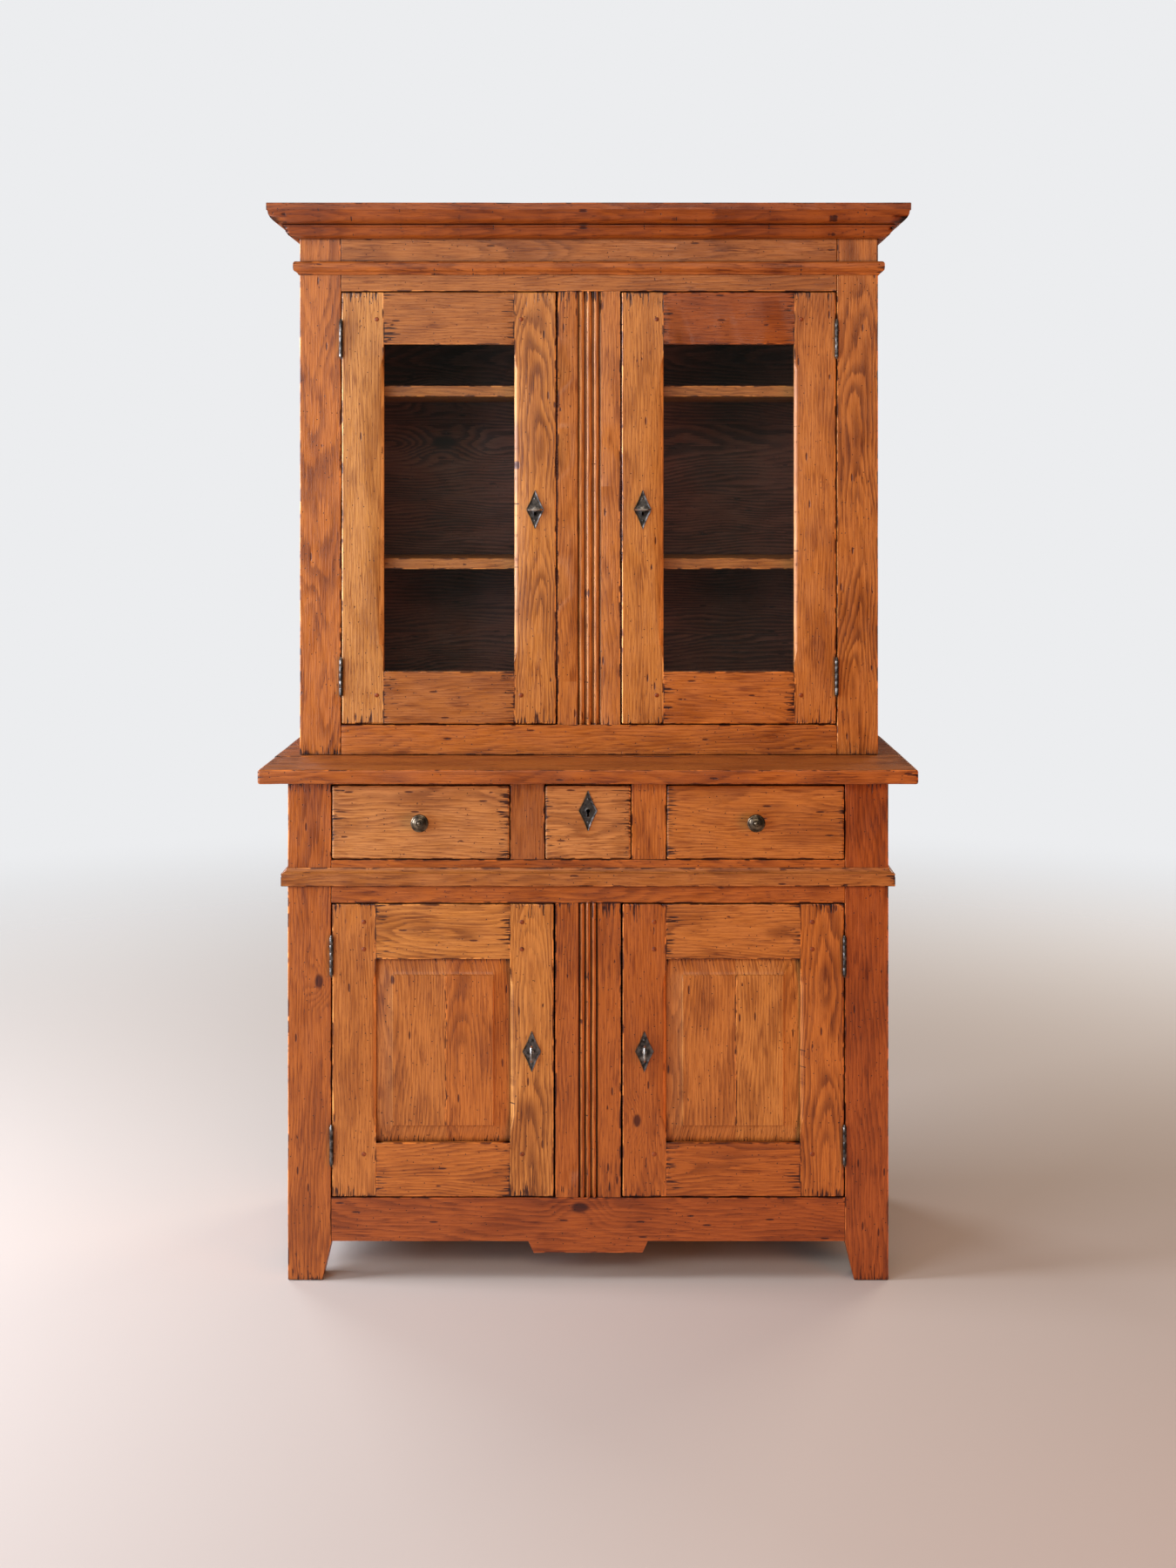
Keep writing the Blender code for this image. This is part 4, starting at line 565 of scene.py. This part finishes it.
# The front and middle boards' paler tawny tone is partly painted light, brightening the top as light from above
# would.
for name, y0, y1, tone in (
    ("front", None, joint_1, "tawny"),
    ("middle", joint_1, joint_2, "tawny"),
    ("back", joint_2, None, "russet"),
):
    part = sawn("worktop", (None, y0, None), (None, y1, None))
    if name == "front":
        rounded_front(part, left=0.006, right=0.006, seed=3.0)
    board("worktop_" + name, part, "carcass", "x", tone, "worktop", arris=0.0018, wave=0.0010, step=0.02)


def mitred(node, prefix, half, front, tones):
    """A moulding in three lengths, mitred at the front corners: the front and two returns."""
    for side, word in ((-1, "left"), (1, "right")):
        corner = Vector((side * half, front, 0))
        low, high = ((0, None, None), (None,) * 3) if side > 0 else ((None,) * 3, (0, None, None))
        part = sawn(node, low, high, [(corner, Vector((-side, -1, 0)))])
        board(f"{prefix}_return_{word}", part, "carcass", "y", tones[1], node, arris=0.0007, wave=0.0004)
    ends = [(Vector((side * half, front, 0)), Vector((side, 1, 0))) for side in (-1, 1)]
    board(prefix + "_front", sawn(node, planes=ends), "carcass", "x", tones[0], node, arris=0.0007, wave=0.0006)


mitred("waist_moulding", "waist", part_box("base_side_right")[1].x, base_lo.y, ("cinnamon", "tawny"))

# ---------------------------------------------------------------- the upper cabinet
# A shallower oak case on the worktop: posts with framed sides, a sill and a frieze rail, a reeded
# mullion, two shelves and smoke-dark back boards, with a cornice and neck moulding planted on the frieze.

upper_lo, upper_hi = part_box("upper_side_left")
upper_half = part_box("upper_side_right")[1].x
sill_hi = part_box("upper_bottom_rail")[1]
frieze_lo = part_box("frieze_rail")[0]
UPPER_POST_D = 0.035
UPPER_STILE_D = 0.030
UPPER_PANEL_EDGE = 0.030
CROSS_RAIL_HALF = 0.035
SIDE_TONES = {
    "left": ("amber", "amber", "tawny", "amber"),
    "right": ("tan", "russet", "russet", "tawny"),
}
for word, (post_tone, back_tone, rail_tone, panel_tone) in SIDE_TONES.items():
    node = "upper_side_" + word
    front, back = upper_lo.y + UPPER_POST_D, upper_hi.y - UPPER_STILE_D
    y0, y1 = front + UPPER_PANEL_EDGE, back - UPPER_PANEL_EDGE
    z0, z3 = sill_hi.z + SIDE_RAIL_LAP, frieze_lo.z - SIDE_RAIL_LAP
    middle = (sill_hi.z + frieze_lo.z) / 2
    z1, z2 = middle - CROSS_RAIL_HALF, middle + CROSS_RAIL_HALF
    post = sawn(node, high=(None, front, None))
    figure = 0.8 if word == "right" else 0.55
    board("upper_post_" + word, post, "carcass", "z", post_tone, node, step=0.03, heart=0.45, figure=figure)
    board("upper_back_stile_" + word, sawn(node, (None, back, None)), "carcass", "z", back_tone, node)
    for name, low, high, run in (
        ("top_rail", (None, front, z3), (None, back, None), "y"),
        ("middle_rail", (None, y0, z1), (None, y1, z2), "y"),
        ("bottom_rail", (None, front, None), (None, back, z0), "y"),
        ("front_stile", (None, front, z0), (None, y0, z3), "z"),
        ("rear_stile", (None, y1, z0), (None, back, z3), "z"),
    ):
        board(f"upper_{name}_{word}", sawn(node, low, high), "carcass", run, rail_tone, node)
    for name, low_z, high_z in (("lower", z0, z1), ("upper", z2, z3)):
        panel = sawn(node, (None, y0, low_z), (None, y1, high_z))
        board(f"upper_{name}_panel_{word}", panel, "carcass", "z", panel_tone, node, wave=0.0003)

board("sill", sawn("upper_bottom_rail"), "carcass", "x", "amber", "upper_bottom_rail", heart=-0.6)
board("frieze", sawn("frieze_rail"), "carcass", "x", "cinnamon", "frieze_rail", heart=0.55)
board("upper_mullion_reeded", reeded("upper_mullion"), "carcass", "z", "tan", "upper_mullion", arris=0.0018)
board("upper_shelf_board", sawn("shelf_upper"), "carcass", "x", "cinnamon", "shelf_upper")
board("lower_shelf_board", sawn("shelf_lower"), "carcass", "x", "cinnamon", "shelf_lower")
dark = {"finish": STAINED, "slot": "dark_boards", "step": 0.1}
board("top_board", sawn("upper_top"), "carcass", "x", "smoke", "upper_top", **dark)
mitred("neck_moulding", "neck", upper_half, upper_lo.y, ("tawny", "tawny"))
mitred("cornice", "cornice", upper_half, upper_lo.y, ("umber", "umber"))

# ---------------------------------------------------------------- the doors
# Each door is two stiles and two rails, mortised, tenoned and pegged, with stopped chamfers on the
# stiles. The upper doors hold a pane, the lower ones a fielded panel glued up from two boards.

STILE_W = 0.080
RAIL_H = {"upper": (0.100, 0.100), "lower": (0.099, 0.101)}
DOOR_TONES = {  # the stiles from left to right, the top and bottom rails, and the panel's two boards
    "upper_left": ("straw", "honey", "cinnamon", "cinnamon", None, None),
    "upper_right": ("honey", "tan", "umber", "amber", None, None),
    "lower_left": ("tan", "honey", "honey", "amber", "tan", "amber"),
    "lower_right": ("tawny", "amber", "tan", "tawny", "tan", "honey"),
}
HEARTS = {"upper_left": (1.6, 0.55), "upper_right": (1.7, 1.5), "lower_left": (1.5, 0.5), "lower_right": (1.6, 0.6)}
PANEL_BEVEL_W = 0.031
PANEL_STEP = 0.0030
PEG_R = 0.0042


def turned(bm, x, y, z, profile, sides=16, facing=0.0):
    """A round piece: each profile point is how far it stands out, and its radius. It faces the front, or
    is turned from there by an angle."""
    right = Vector((math.cos(facing), math.sin(facing), 0))
    outward = Vector((math.sin(facing), -math.cos(facing), 0))
    middle = Vector((x, y, z))
    rings = []
    for out, radius in profile:
        if radius:
            turns = [2 * math.pi * i / sides for i in range(sides)]
            spots = [right * math.cos(t) + AXES[2] * math.sin(t) for t in turns]
            places = [middle + outward * out + spot * radius for spot in spots]
        else:
            places = [middle + outward * out]
        rings.append([bm.verts.new(p) for p in places])
    if len(rings[0]) > 1:
        bm.faces.new(rings[0])
    for ring, after in zip(rings, rings[1:]):
        for i in range(sides):
            j = (i + 1) % sides
            if len(after) == 1:
                bm.faces.new((ring[j], ring[i], after[0]))
            else:
                bm.faces.new((ring[j], ring[i], after[i], after[j]))
    if len(rings[-1]) > 1:
        bm.faces.new(rings[-1][::-1])


def pegs(name, body, face_y, places):
    """Cleft oak pegs, driven flush and now a little proud, each with a line of dirt round it."""
    bm = bmesh.new()
    profile = ((-0.0040, PEG_R), (0.0001, PEG_R), (0.0006, PEG_R * 0.86), (0.0009, PEG_R * 0.5), (0.0010, 0))
    for x, z in places:
        turned(bm, x, face_y, z, profile, 12)
    bmesh.ops.recalc_face_normals(bm, faces=bm.faces)
    mesh = bpy.data.meshes.new(name)
    bm.to_mesh(mesh)
    bm.free()
    mesh.shade_smooth()
    count = len(mesh.vertices)
    rim = [vert.co.y > face_y - 0.0003 for vert in mesh.vertices]
    tones = [part for dirty in rim for part in srgb(OAK_TONES["soot" if dirty else "chestnut"])]
    mesh.attributes.new("tone", "FLOAT_COLOR", "POINT").data.foreach_set("color", tones)
    middle = [1000 * vert.co[k] + 3000 for vert in mesh.vertices for k in (1, 0, 2)]
    mesh.attributes.new("grain", "FLOAT_VECTOR", "POINT").data.foreach_set("vector", middle)
    for key, value in (("board", (9000, 9000, 9000)), ("heart", (2000, 900, 0)), ("knot", NO_KNOT)):
        mesh.attributes.new(key, "FLOAT_VECTOR", "POINT").data.foreach_set("vector", value * count)
    mesh.materials.append(OAK)
    piece = bpy.data.objects.new(name, mesh)
    scene.collection.objects.link(piece)
    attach(piece, body)


def fielded(panel):
    """Steps the bevelled border of a raised panel down from its field."""
    bm = sawn(panel)
    lo, hi = corners_of(bm)
    tips = [v.co for v in bm.verts if v.co.y < lo.y + 0.0002]
    x0, x1 = min(t.x for t in tips), max(t.x for t in tips)
    z0, z1 = min(t.z for t in tips), max(t.z for t in tips)
    slice_at(bm, 0, [x0, x0 - 0.0012, x1, x1 + 0.0012])
    slice_at(bm, 2, [z0, z0 - 0.0012, z1, z1 + 0.0012])
    for vert in bm.verts:
        off = max(x0 - vert.co.x, vert.co.x - x1, z0 - vert.co.z, vert.co.z - z1)
        if off > 0.0006 and vert.co.y < (lo.y + hi.y) / 2 + 0.001:
            vert.co.y += PANEL_STEP * max(0.0, 1 - off / PANEL_BEVEL_W)
    return bm


def door(level, word):
    name = f"door_{level}_{word}"
    node = name + "_frame"
    lo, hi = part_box(node)
    left, right = lo.x + STILE_W, hi.x - STILE_W
    low, high = lo.z + RAIL_H[level][0], hi.z - RAIL_H[level][1]
    tones = DOOR_TONES[f"{level}_{word}"]
    hearts = HEARTS[f"{level}_{word}"]
    lock_stile = 0 if word == "right" else 1
    for i, (x0, x1) in enumerate(((None, left), (right, None))):
        part = sawn(node, (x0, None, None), (x1, None, None))
        worn = {"left": 0.0035} if i == 0 else {"right": 0.0035}
        rounded_front(part, bottom=0.003, top=0.003, seed=lo.x + i, **worn)
        knot = (0.26, 0.33, 8.0) if (level, word, i) == ("lower", "right", 0) else None
        look = {"heart": hearts[i], "figure": 0.75 if hearts[i] < 1 else 0.35, "knot": knot, "step": 0.03}
        board(f"{name}_stile_{i + 1}", part, name, "z", tones[i], node, **look)
    for i, (part_name, z0, z1) in enumerate((("top_rail", high, None), ("bottom_rail", None, low))):
        part = sawn(node, (left, None, z0), (right, None, z1))
        worn = {"top": 0.003} if i == 0 else {"bottom": 0.003}
        rounded_front(part, seed=lo.z + i, **worn)
        look = {"figure": 0.3 if level == "upper" else 0.6}
        look |= {"heart": 0.5} if (level, i) == ("lower", 0) else {}
        board(f"{name}_{part_name}", part, name, "x", tones[2 + i], node, step=0.03, **look)
    if level == "upper":
        spots = [(x, z) for x in (left - 0.013, right + 0.013) for z in (lo.z + 0.055, hi.z - 0.052)]
    else:
        spots = [(x, z) for x in (left - 0.022, right + 0.022) for z in (hi.z - 0.033, hi.z - 0.083, lo.z + 0.078)]
    pegs(name + "_pegs", name, lo.y, spots)
    if level == "lower":
        panel = name + "_panel"
        p_lo, p_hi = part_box(panel)
        joint = p_lo.x + (p_hi.x - p_lo.x) * 0.52
        for i, away in enumerate((1, -1)):
            part = fielded(panel)
            cut_off(part, Vector((joint, 0, 0)), Vector((away, 0, 0)))
            board(f"{panel}_{i + 1}", part, name, "z", tones[4 + i], panel, arris=0.0004, wave=0.0003, step=0.03)


for level in ("upper", "lower"):
    for word in ("left", "right"):
        door(level, word)

# Four mitred oak beads hold each pane in its rebate.
BEAD_W = 0.0084
BEAD_IN = 0.0005  # how far a bead stays back from the edge of the opening
for word in ("left", "right"):
    name = f"door_upper_{word}"
    lo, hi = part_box(name + "_frame")
    x0, x1 = lo.x + STILE_W - BEAD_W, hi.x - STILE_W + BEAD_W
    z0, z1 = lo.z + RAIL_H["upper"][0] - BEAD_W, hi.z - RAIL_H["upper"][1] + BEAD_W
    y0, y1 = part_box(name + "_glass")[1].y + 0.0003, hi.y - 0.0010
    slim = BEAD_W - BEAD_IN
    for place, low, high, inward, run in (
        ("left", (x0, z0), (x0 + slim, z1), AXES[0], AXES[2]),
        ("right", (x1 - slim, z0), (x1, z1), -AXES[0], AXES[2]),
        ("bottom", (x0, z0), (x1, z0 + slim), AXES[2], AXES[0]),
        ("top", (x0, z1 - slim), (x1, z1), -AXES[2], AXES[0]),
    ):
        low, high = Vector((low[0], y0, low[1])), Vector((high[0], y1, high[1]))
        outer = high if inward.x + inward.z < 0 else low
        bead = bmesh.new()
        size = (*(high - low), 1)
        placed = Matrix.Translation((low + high) / 2) @ Matrix.Diagonal(size)
        bmesh.ops.create_cube(bead, size=1.0, matrix=placed)
        for end, way in ((low, -1), (high, 1)):
            corner = Vector((outer.x, 0, end.z)) if run.z else Vector((end.x, 0, outer.z))
            cut_off(bead, corner, inward + run * way)
        grain = "z" if run.z else "x"
        board(f"{name}_bead_{place}", bead, name, grain, "cocoa", arris=0.0020, wave=0.0002, step=0.1)

# Old drawn window glass: clear, a little green, with a low ripple. It casts no shadow into the cabinet.
glass, tree, shader = new_material("old_window_glass")
shader.inputs["Base Color"].default_value = srgb("#f0f5f2")
shader.inputs["Transmission Weight"].default_value = 1.0
shader.inputs["Roughness"].default_value = 0.01
shader.inputs["IOR"].default_value = 1.5
ripple_at = add(tree, "ShaderNodeTexCoord")
ripple = add(tree, "ShaderNodeTexNoise", {"Vector": (ripple_at, "Object"), "Scale": 9.0, "Detail": 0.5})
rippled = add(tree, "ShaderNodeBump", {"Height": ripple, "Strength": 0.10, "Distance": 0.001})
tree.links.new(rippled.outputs[0], shader.inputs["Normal"])
for word in ("left", "right"):
    pane = nodes[f"door_upper_{word}_glass"]
    pane.data.materials.clear()
    pane.data.materials.append(glass)
    pane.visible_shadow = False

# ---------------------------------------------------------------- the drawers
# Oak fronts with rubbed round edges, on plain boxes that run on the deck.

FRONT_TONES = {"left": "biscuit", "centre": "biscuit", "right": "tan"}
FRONT_HEARTS = {"left": 0.9, "centre": 0.4, "right": 0.8}
BOX_SIDE_T = 0.011
BOX_BOTTOM_T = 0.008
box_look = {"finish": PLAIN, "slot": "plain_boards", "arris": 0.0006, "wave": 0.0002, "step": 0.08}
for word, tone in FRONT_TONES.items():
    body = "drawer_" + word
    node = "drawer_front_" + word
    face = sawn(node)
    rounded_front(face, left=0.006, right=0.006, bottom=0.0045, top=0.0045, seed=len(word))
    heart = FRONT_HEARTS[word]
    board(body + "_face", face, body, "x", tone, node, step=0.012, heart=heart, wave=0.0011)
    node = "drawer_box_" + word
    lo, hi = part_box(node)
    bottom, back = lo.z + BOX_BOTTOM_T, hi.y - BOX_SIDE_T
    left, right = lo.x + BOX_SIDE_T, hi.x - BOX_SIDE_T
    for name, low, high, run in (
        ("side_1", (None, None, bottom), (left, back, None), "y"),
        ("side_2", (right, None, bottom), (None, back, None), "y"),
        ("back", (None, back, bottom), (None,) * 3, "x"),
        ("bottom", (None,) * 3, (None, None, bottom), "x"),
    ):
        board(f"{body}_{name}", sawn(node, low, high), body, run, "raw", node, **box_look)

# ---------------------------------------------------------------- the ironwork
# Forged iron, blackened and waxed: lozenge escutcheons with nails, keys, lock bolts, butt hinges and
# turned knobs. Handling has rubbed the high spots to a dull grey.

IRON_MOTTLE_MM = 9


def forged_iron(name, dark, worn, roughness):
    """Blackened iron: dark in the hollows, grey where hands rub it, with a soft broken gleam."""
    made, tree, shader = new_material(name)
    shader.inputs["Metallic"].default_value = 1.0
    where = add(tree, "ShaderNodeTexCoord")
    scaled = add(
        tree, "ShaderNodeVectorMath", [(where, "Object"), (1000 / IRON_MOTTLE_MM,) * 3], operation="MULTIPLY"
    )
    mottle = add(tree, "ShaderNodeTexNoise", {"Vector": scaled, "Scale": 1.0, "Detail": 3.0})
    rubbed = add(tree, "ShaderNodeMapRange", [mottle, 0.38, 0.66, 0.0, 1.0])
    skin = add(tree, "ShaderNodeMix", {0: rubbed, 6: srgb(dark), 7: srgb(worn)}, data_type="RGBA")
    tree.links.new(skin.outputs[2], shader.inputs["Base Color"])
    dull = add(tree, "ShaderNodeMapRange", [mottle, 0.35, 0.65, roughness + 0.10, roughness - 0.08])
    tree.links.new(dull.outputs[0], shader.inputs["Roughness"])
    beaten = add(tree, "ShaderNodeBump", {"Height": mottle, "Strength": 0.35, "Distance": 0.0005})
    tree.links.new(beaten.outputs[0], shader.inputs["Normal"])
    return made


IRON = forged_iron("blackened_iron", "#3f3b38", "#7d7772", 0.40)
# The keys' steel is paler: partly its own colour, partly painted highlight for the light catching the bows.
STEEL_WITH_PAINTED_HIGHLIGHT = forged_iron("pale_steel_painted_highlight", "#8a827a", "#c9c1b6", 0.30)
BRONZED = forged_iron("bronzed_iron", "#4b4136", "#84735e", 0.34)


def fitting(name, bm, body, node=None, finish=IRON, crease=35):
    """Finishes a metal piece, smooth apart from its real edges."""
    mesh = bpy.data.meshes.new(name)
    bm.to_mesh(mesh)
    bm.free()
    mesh.shade_smooth()
    mesh.set_sharp_from_angle(angle=math.radians(crease))
    mesh.materials.append(finish)
    piece = bpy.data.objects.new(name, mesh)
    scene.collection.objects.link(piece)
    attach(piece, body)
    if node:
        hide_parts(node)
    return piece


NAIL_OFF = 0.021  # above and below the keyhole
RIM_W = 0.0026
for name in [n for n in nodes if n.startswith("escutcheon")]:
    body = name.replace("escutcheon_", "door_") if "centre" not in name else "drawer_centre"
    plate = sawn(name)
    lo, hi = corners_of(plate)
    front = [f for f in plate.faces if f.normal.y < -0.9]
    outline = {v for f in front for e in f.edges if sum(g in front for g in e.link_faces) == 1 for v in e.verts}
    bmesh.ops.inset_region(plate, faces=front, thickness=RIM_W, depth=0, use_even_offset=True)
    for vert in outline:
        if vert.co.y < lo.y + 0.0001:
            vert.co.y += 0.0008
    fitting(name + "_plate", plate, body, name, crease=12)
    x, z = (lo.x + hi.x) / 2, (lo.z + hi.z) / 2
    heads = bmesh.new()
    for off in (-NAIL_OFF, NAIL_OFF):
        turned(heads, x, lo.y, z + off, ((-0.0004, 0.0019), (0.0002, 0.0019), (0.0007, 0.0012), (0.0009, 0)), 10)
    bmesh.ops.recalc_face_normals(heads, faces=heads.faces)
    fitting(name + "_nails", heads, body)

for name in [n for n in nodes if n.startswith(("key", "bolt", "hinge"))]:
    body = "carcass" if name.startswith("hinge") else name
    fitting(name + "_iron", sawn(name), body, name, STEEL_WITH_PAINTED_HIGHLIGHT if name.startswith("key") else IRON)

# The door's half of each hinge is let into the door's edge and held by three screws.
LEAF_T = 0.0004
LEAF_W = 0.020
SCREW_PITCH = 0.023
SCREW = ((-0.0002, 0.0027), (0.0001, 0.0027), (0.0001, 0.0022), (-0.0001, 0.0020), (-0.0001, 0))
for name in [n for n in nodes if n.startswith("hinge")]:
    _, level, word, _ = name.split("_")
    body = f"door_{level}_{word}"
    side = -1 if word == "left" else 1
    lo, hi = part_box(body + "_frame")
    middle = sum(edge.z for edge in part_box(name)) / 2
    edge_x = hi.x if side > 0 else lo.x
    leaf = bmesh.new()
    centre = (edge_x + side * LEAF_T / 2, lo.y + 0.002 + LEAF_W / 2, middle)
    placed = Matrix.Translation(centre) @ Matrix.Diagonal((LEAF_T, LEAF_W, 0.068, 1))
    bmesh.ops.create_cube(leaf, size=1.0, matrix=placed)
    for step in (-1, 0, 1):
        place = (edge_x + side * LEAF_T, centre[1] + 0.002 * step, middle + SCREW_PITCH * step)
        turned(leaf, *place, SCREW, 12, side * math.pi / 2)
    bmesh.ops.recalc_face_normals(leaf, faces=leaf.faces)
    fitting(name + "_door_leaf", leaf, body)

# Forged nails hold the back boards in their rebates.
NAIL = ((-0.0010, 0.0022), (0.0003, 0.0030), (0.0008, 0.0020), (0.0010, 0))
for node, levels, _, _ in BACK_BOARDS:
    lo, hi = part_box(node)
    edges = [lo.z, *levels, hi.z]
    heads = bmesh.new()
    for z0, z1 in zip(edges, edges[1:]):
        for x in (lo.x + 0.012, hi.x - 0.012):
            for z in (z0 + (z1 - z0) * 0.2, z1 - (z1 - z0) * 0.2):
                turned(heads, x, hi.y, z, NAIL, 8, math.pi)
    bmesh.ops.recalc_face_normals(heads, faces=heads.faces)
    fitting(node + "_nails", heads, "carcass")

KNOB_PROFILE = (  # how far each ring stands out of the drawer front, and its radius, in millimetres
    (-1.0, 9.0), (0.6, 9.6), (2.2, 9.2), (3.4, 6.6), (8.0, 5.4), (12.5, 6.4), (15.5, 10.2), (17.2, 14.6),
    (18.6, 16.3), (20.2, 16.5), (21.6, 15.6), (22.4, 13.9), (22.3, 12.9), (23.0, 12.2), (24.6, 10.4),
    (25.9, 7.4), (26.4, 4.8), (26.2, 4.0), (27.0, 3.4), (27.7, 2.2), (28.0, 0.0),
)
face_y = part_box("drawer_front_left")[0].y
for word in ("left", "right"):
    lo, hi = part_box("knob_" + word)
    knob = bmesh.new()
    shape = [(out / 1000, radius / 1000) for out, radius in KNOB_PROFILE]
    turned(knob, (lo.x + hi.x) / 2, face_y, (lo.z + hi.z) / 2, shape, 40)
    bmesh.ops.recalc_face_normals(knob, faces=knob.faces)
    fitting(f"knob_{word}_turned", knob, "drawer_" + word, "knob_" + word, BRONZED, 50)
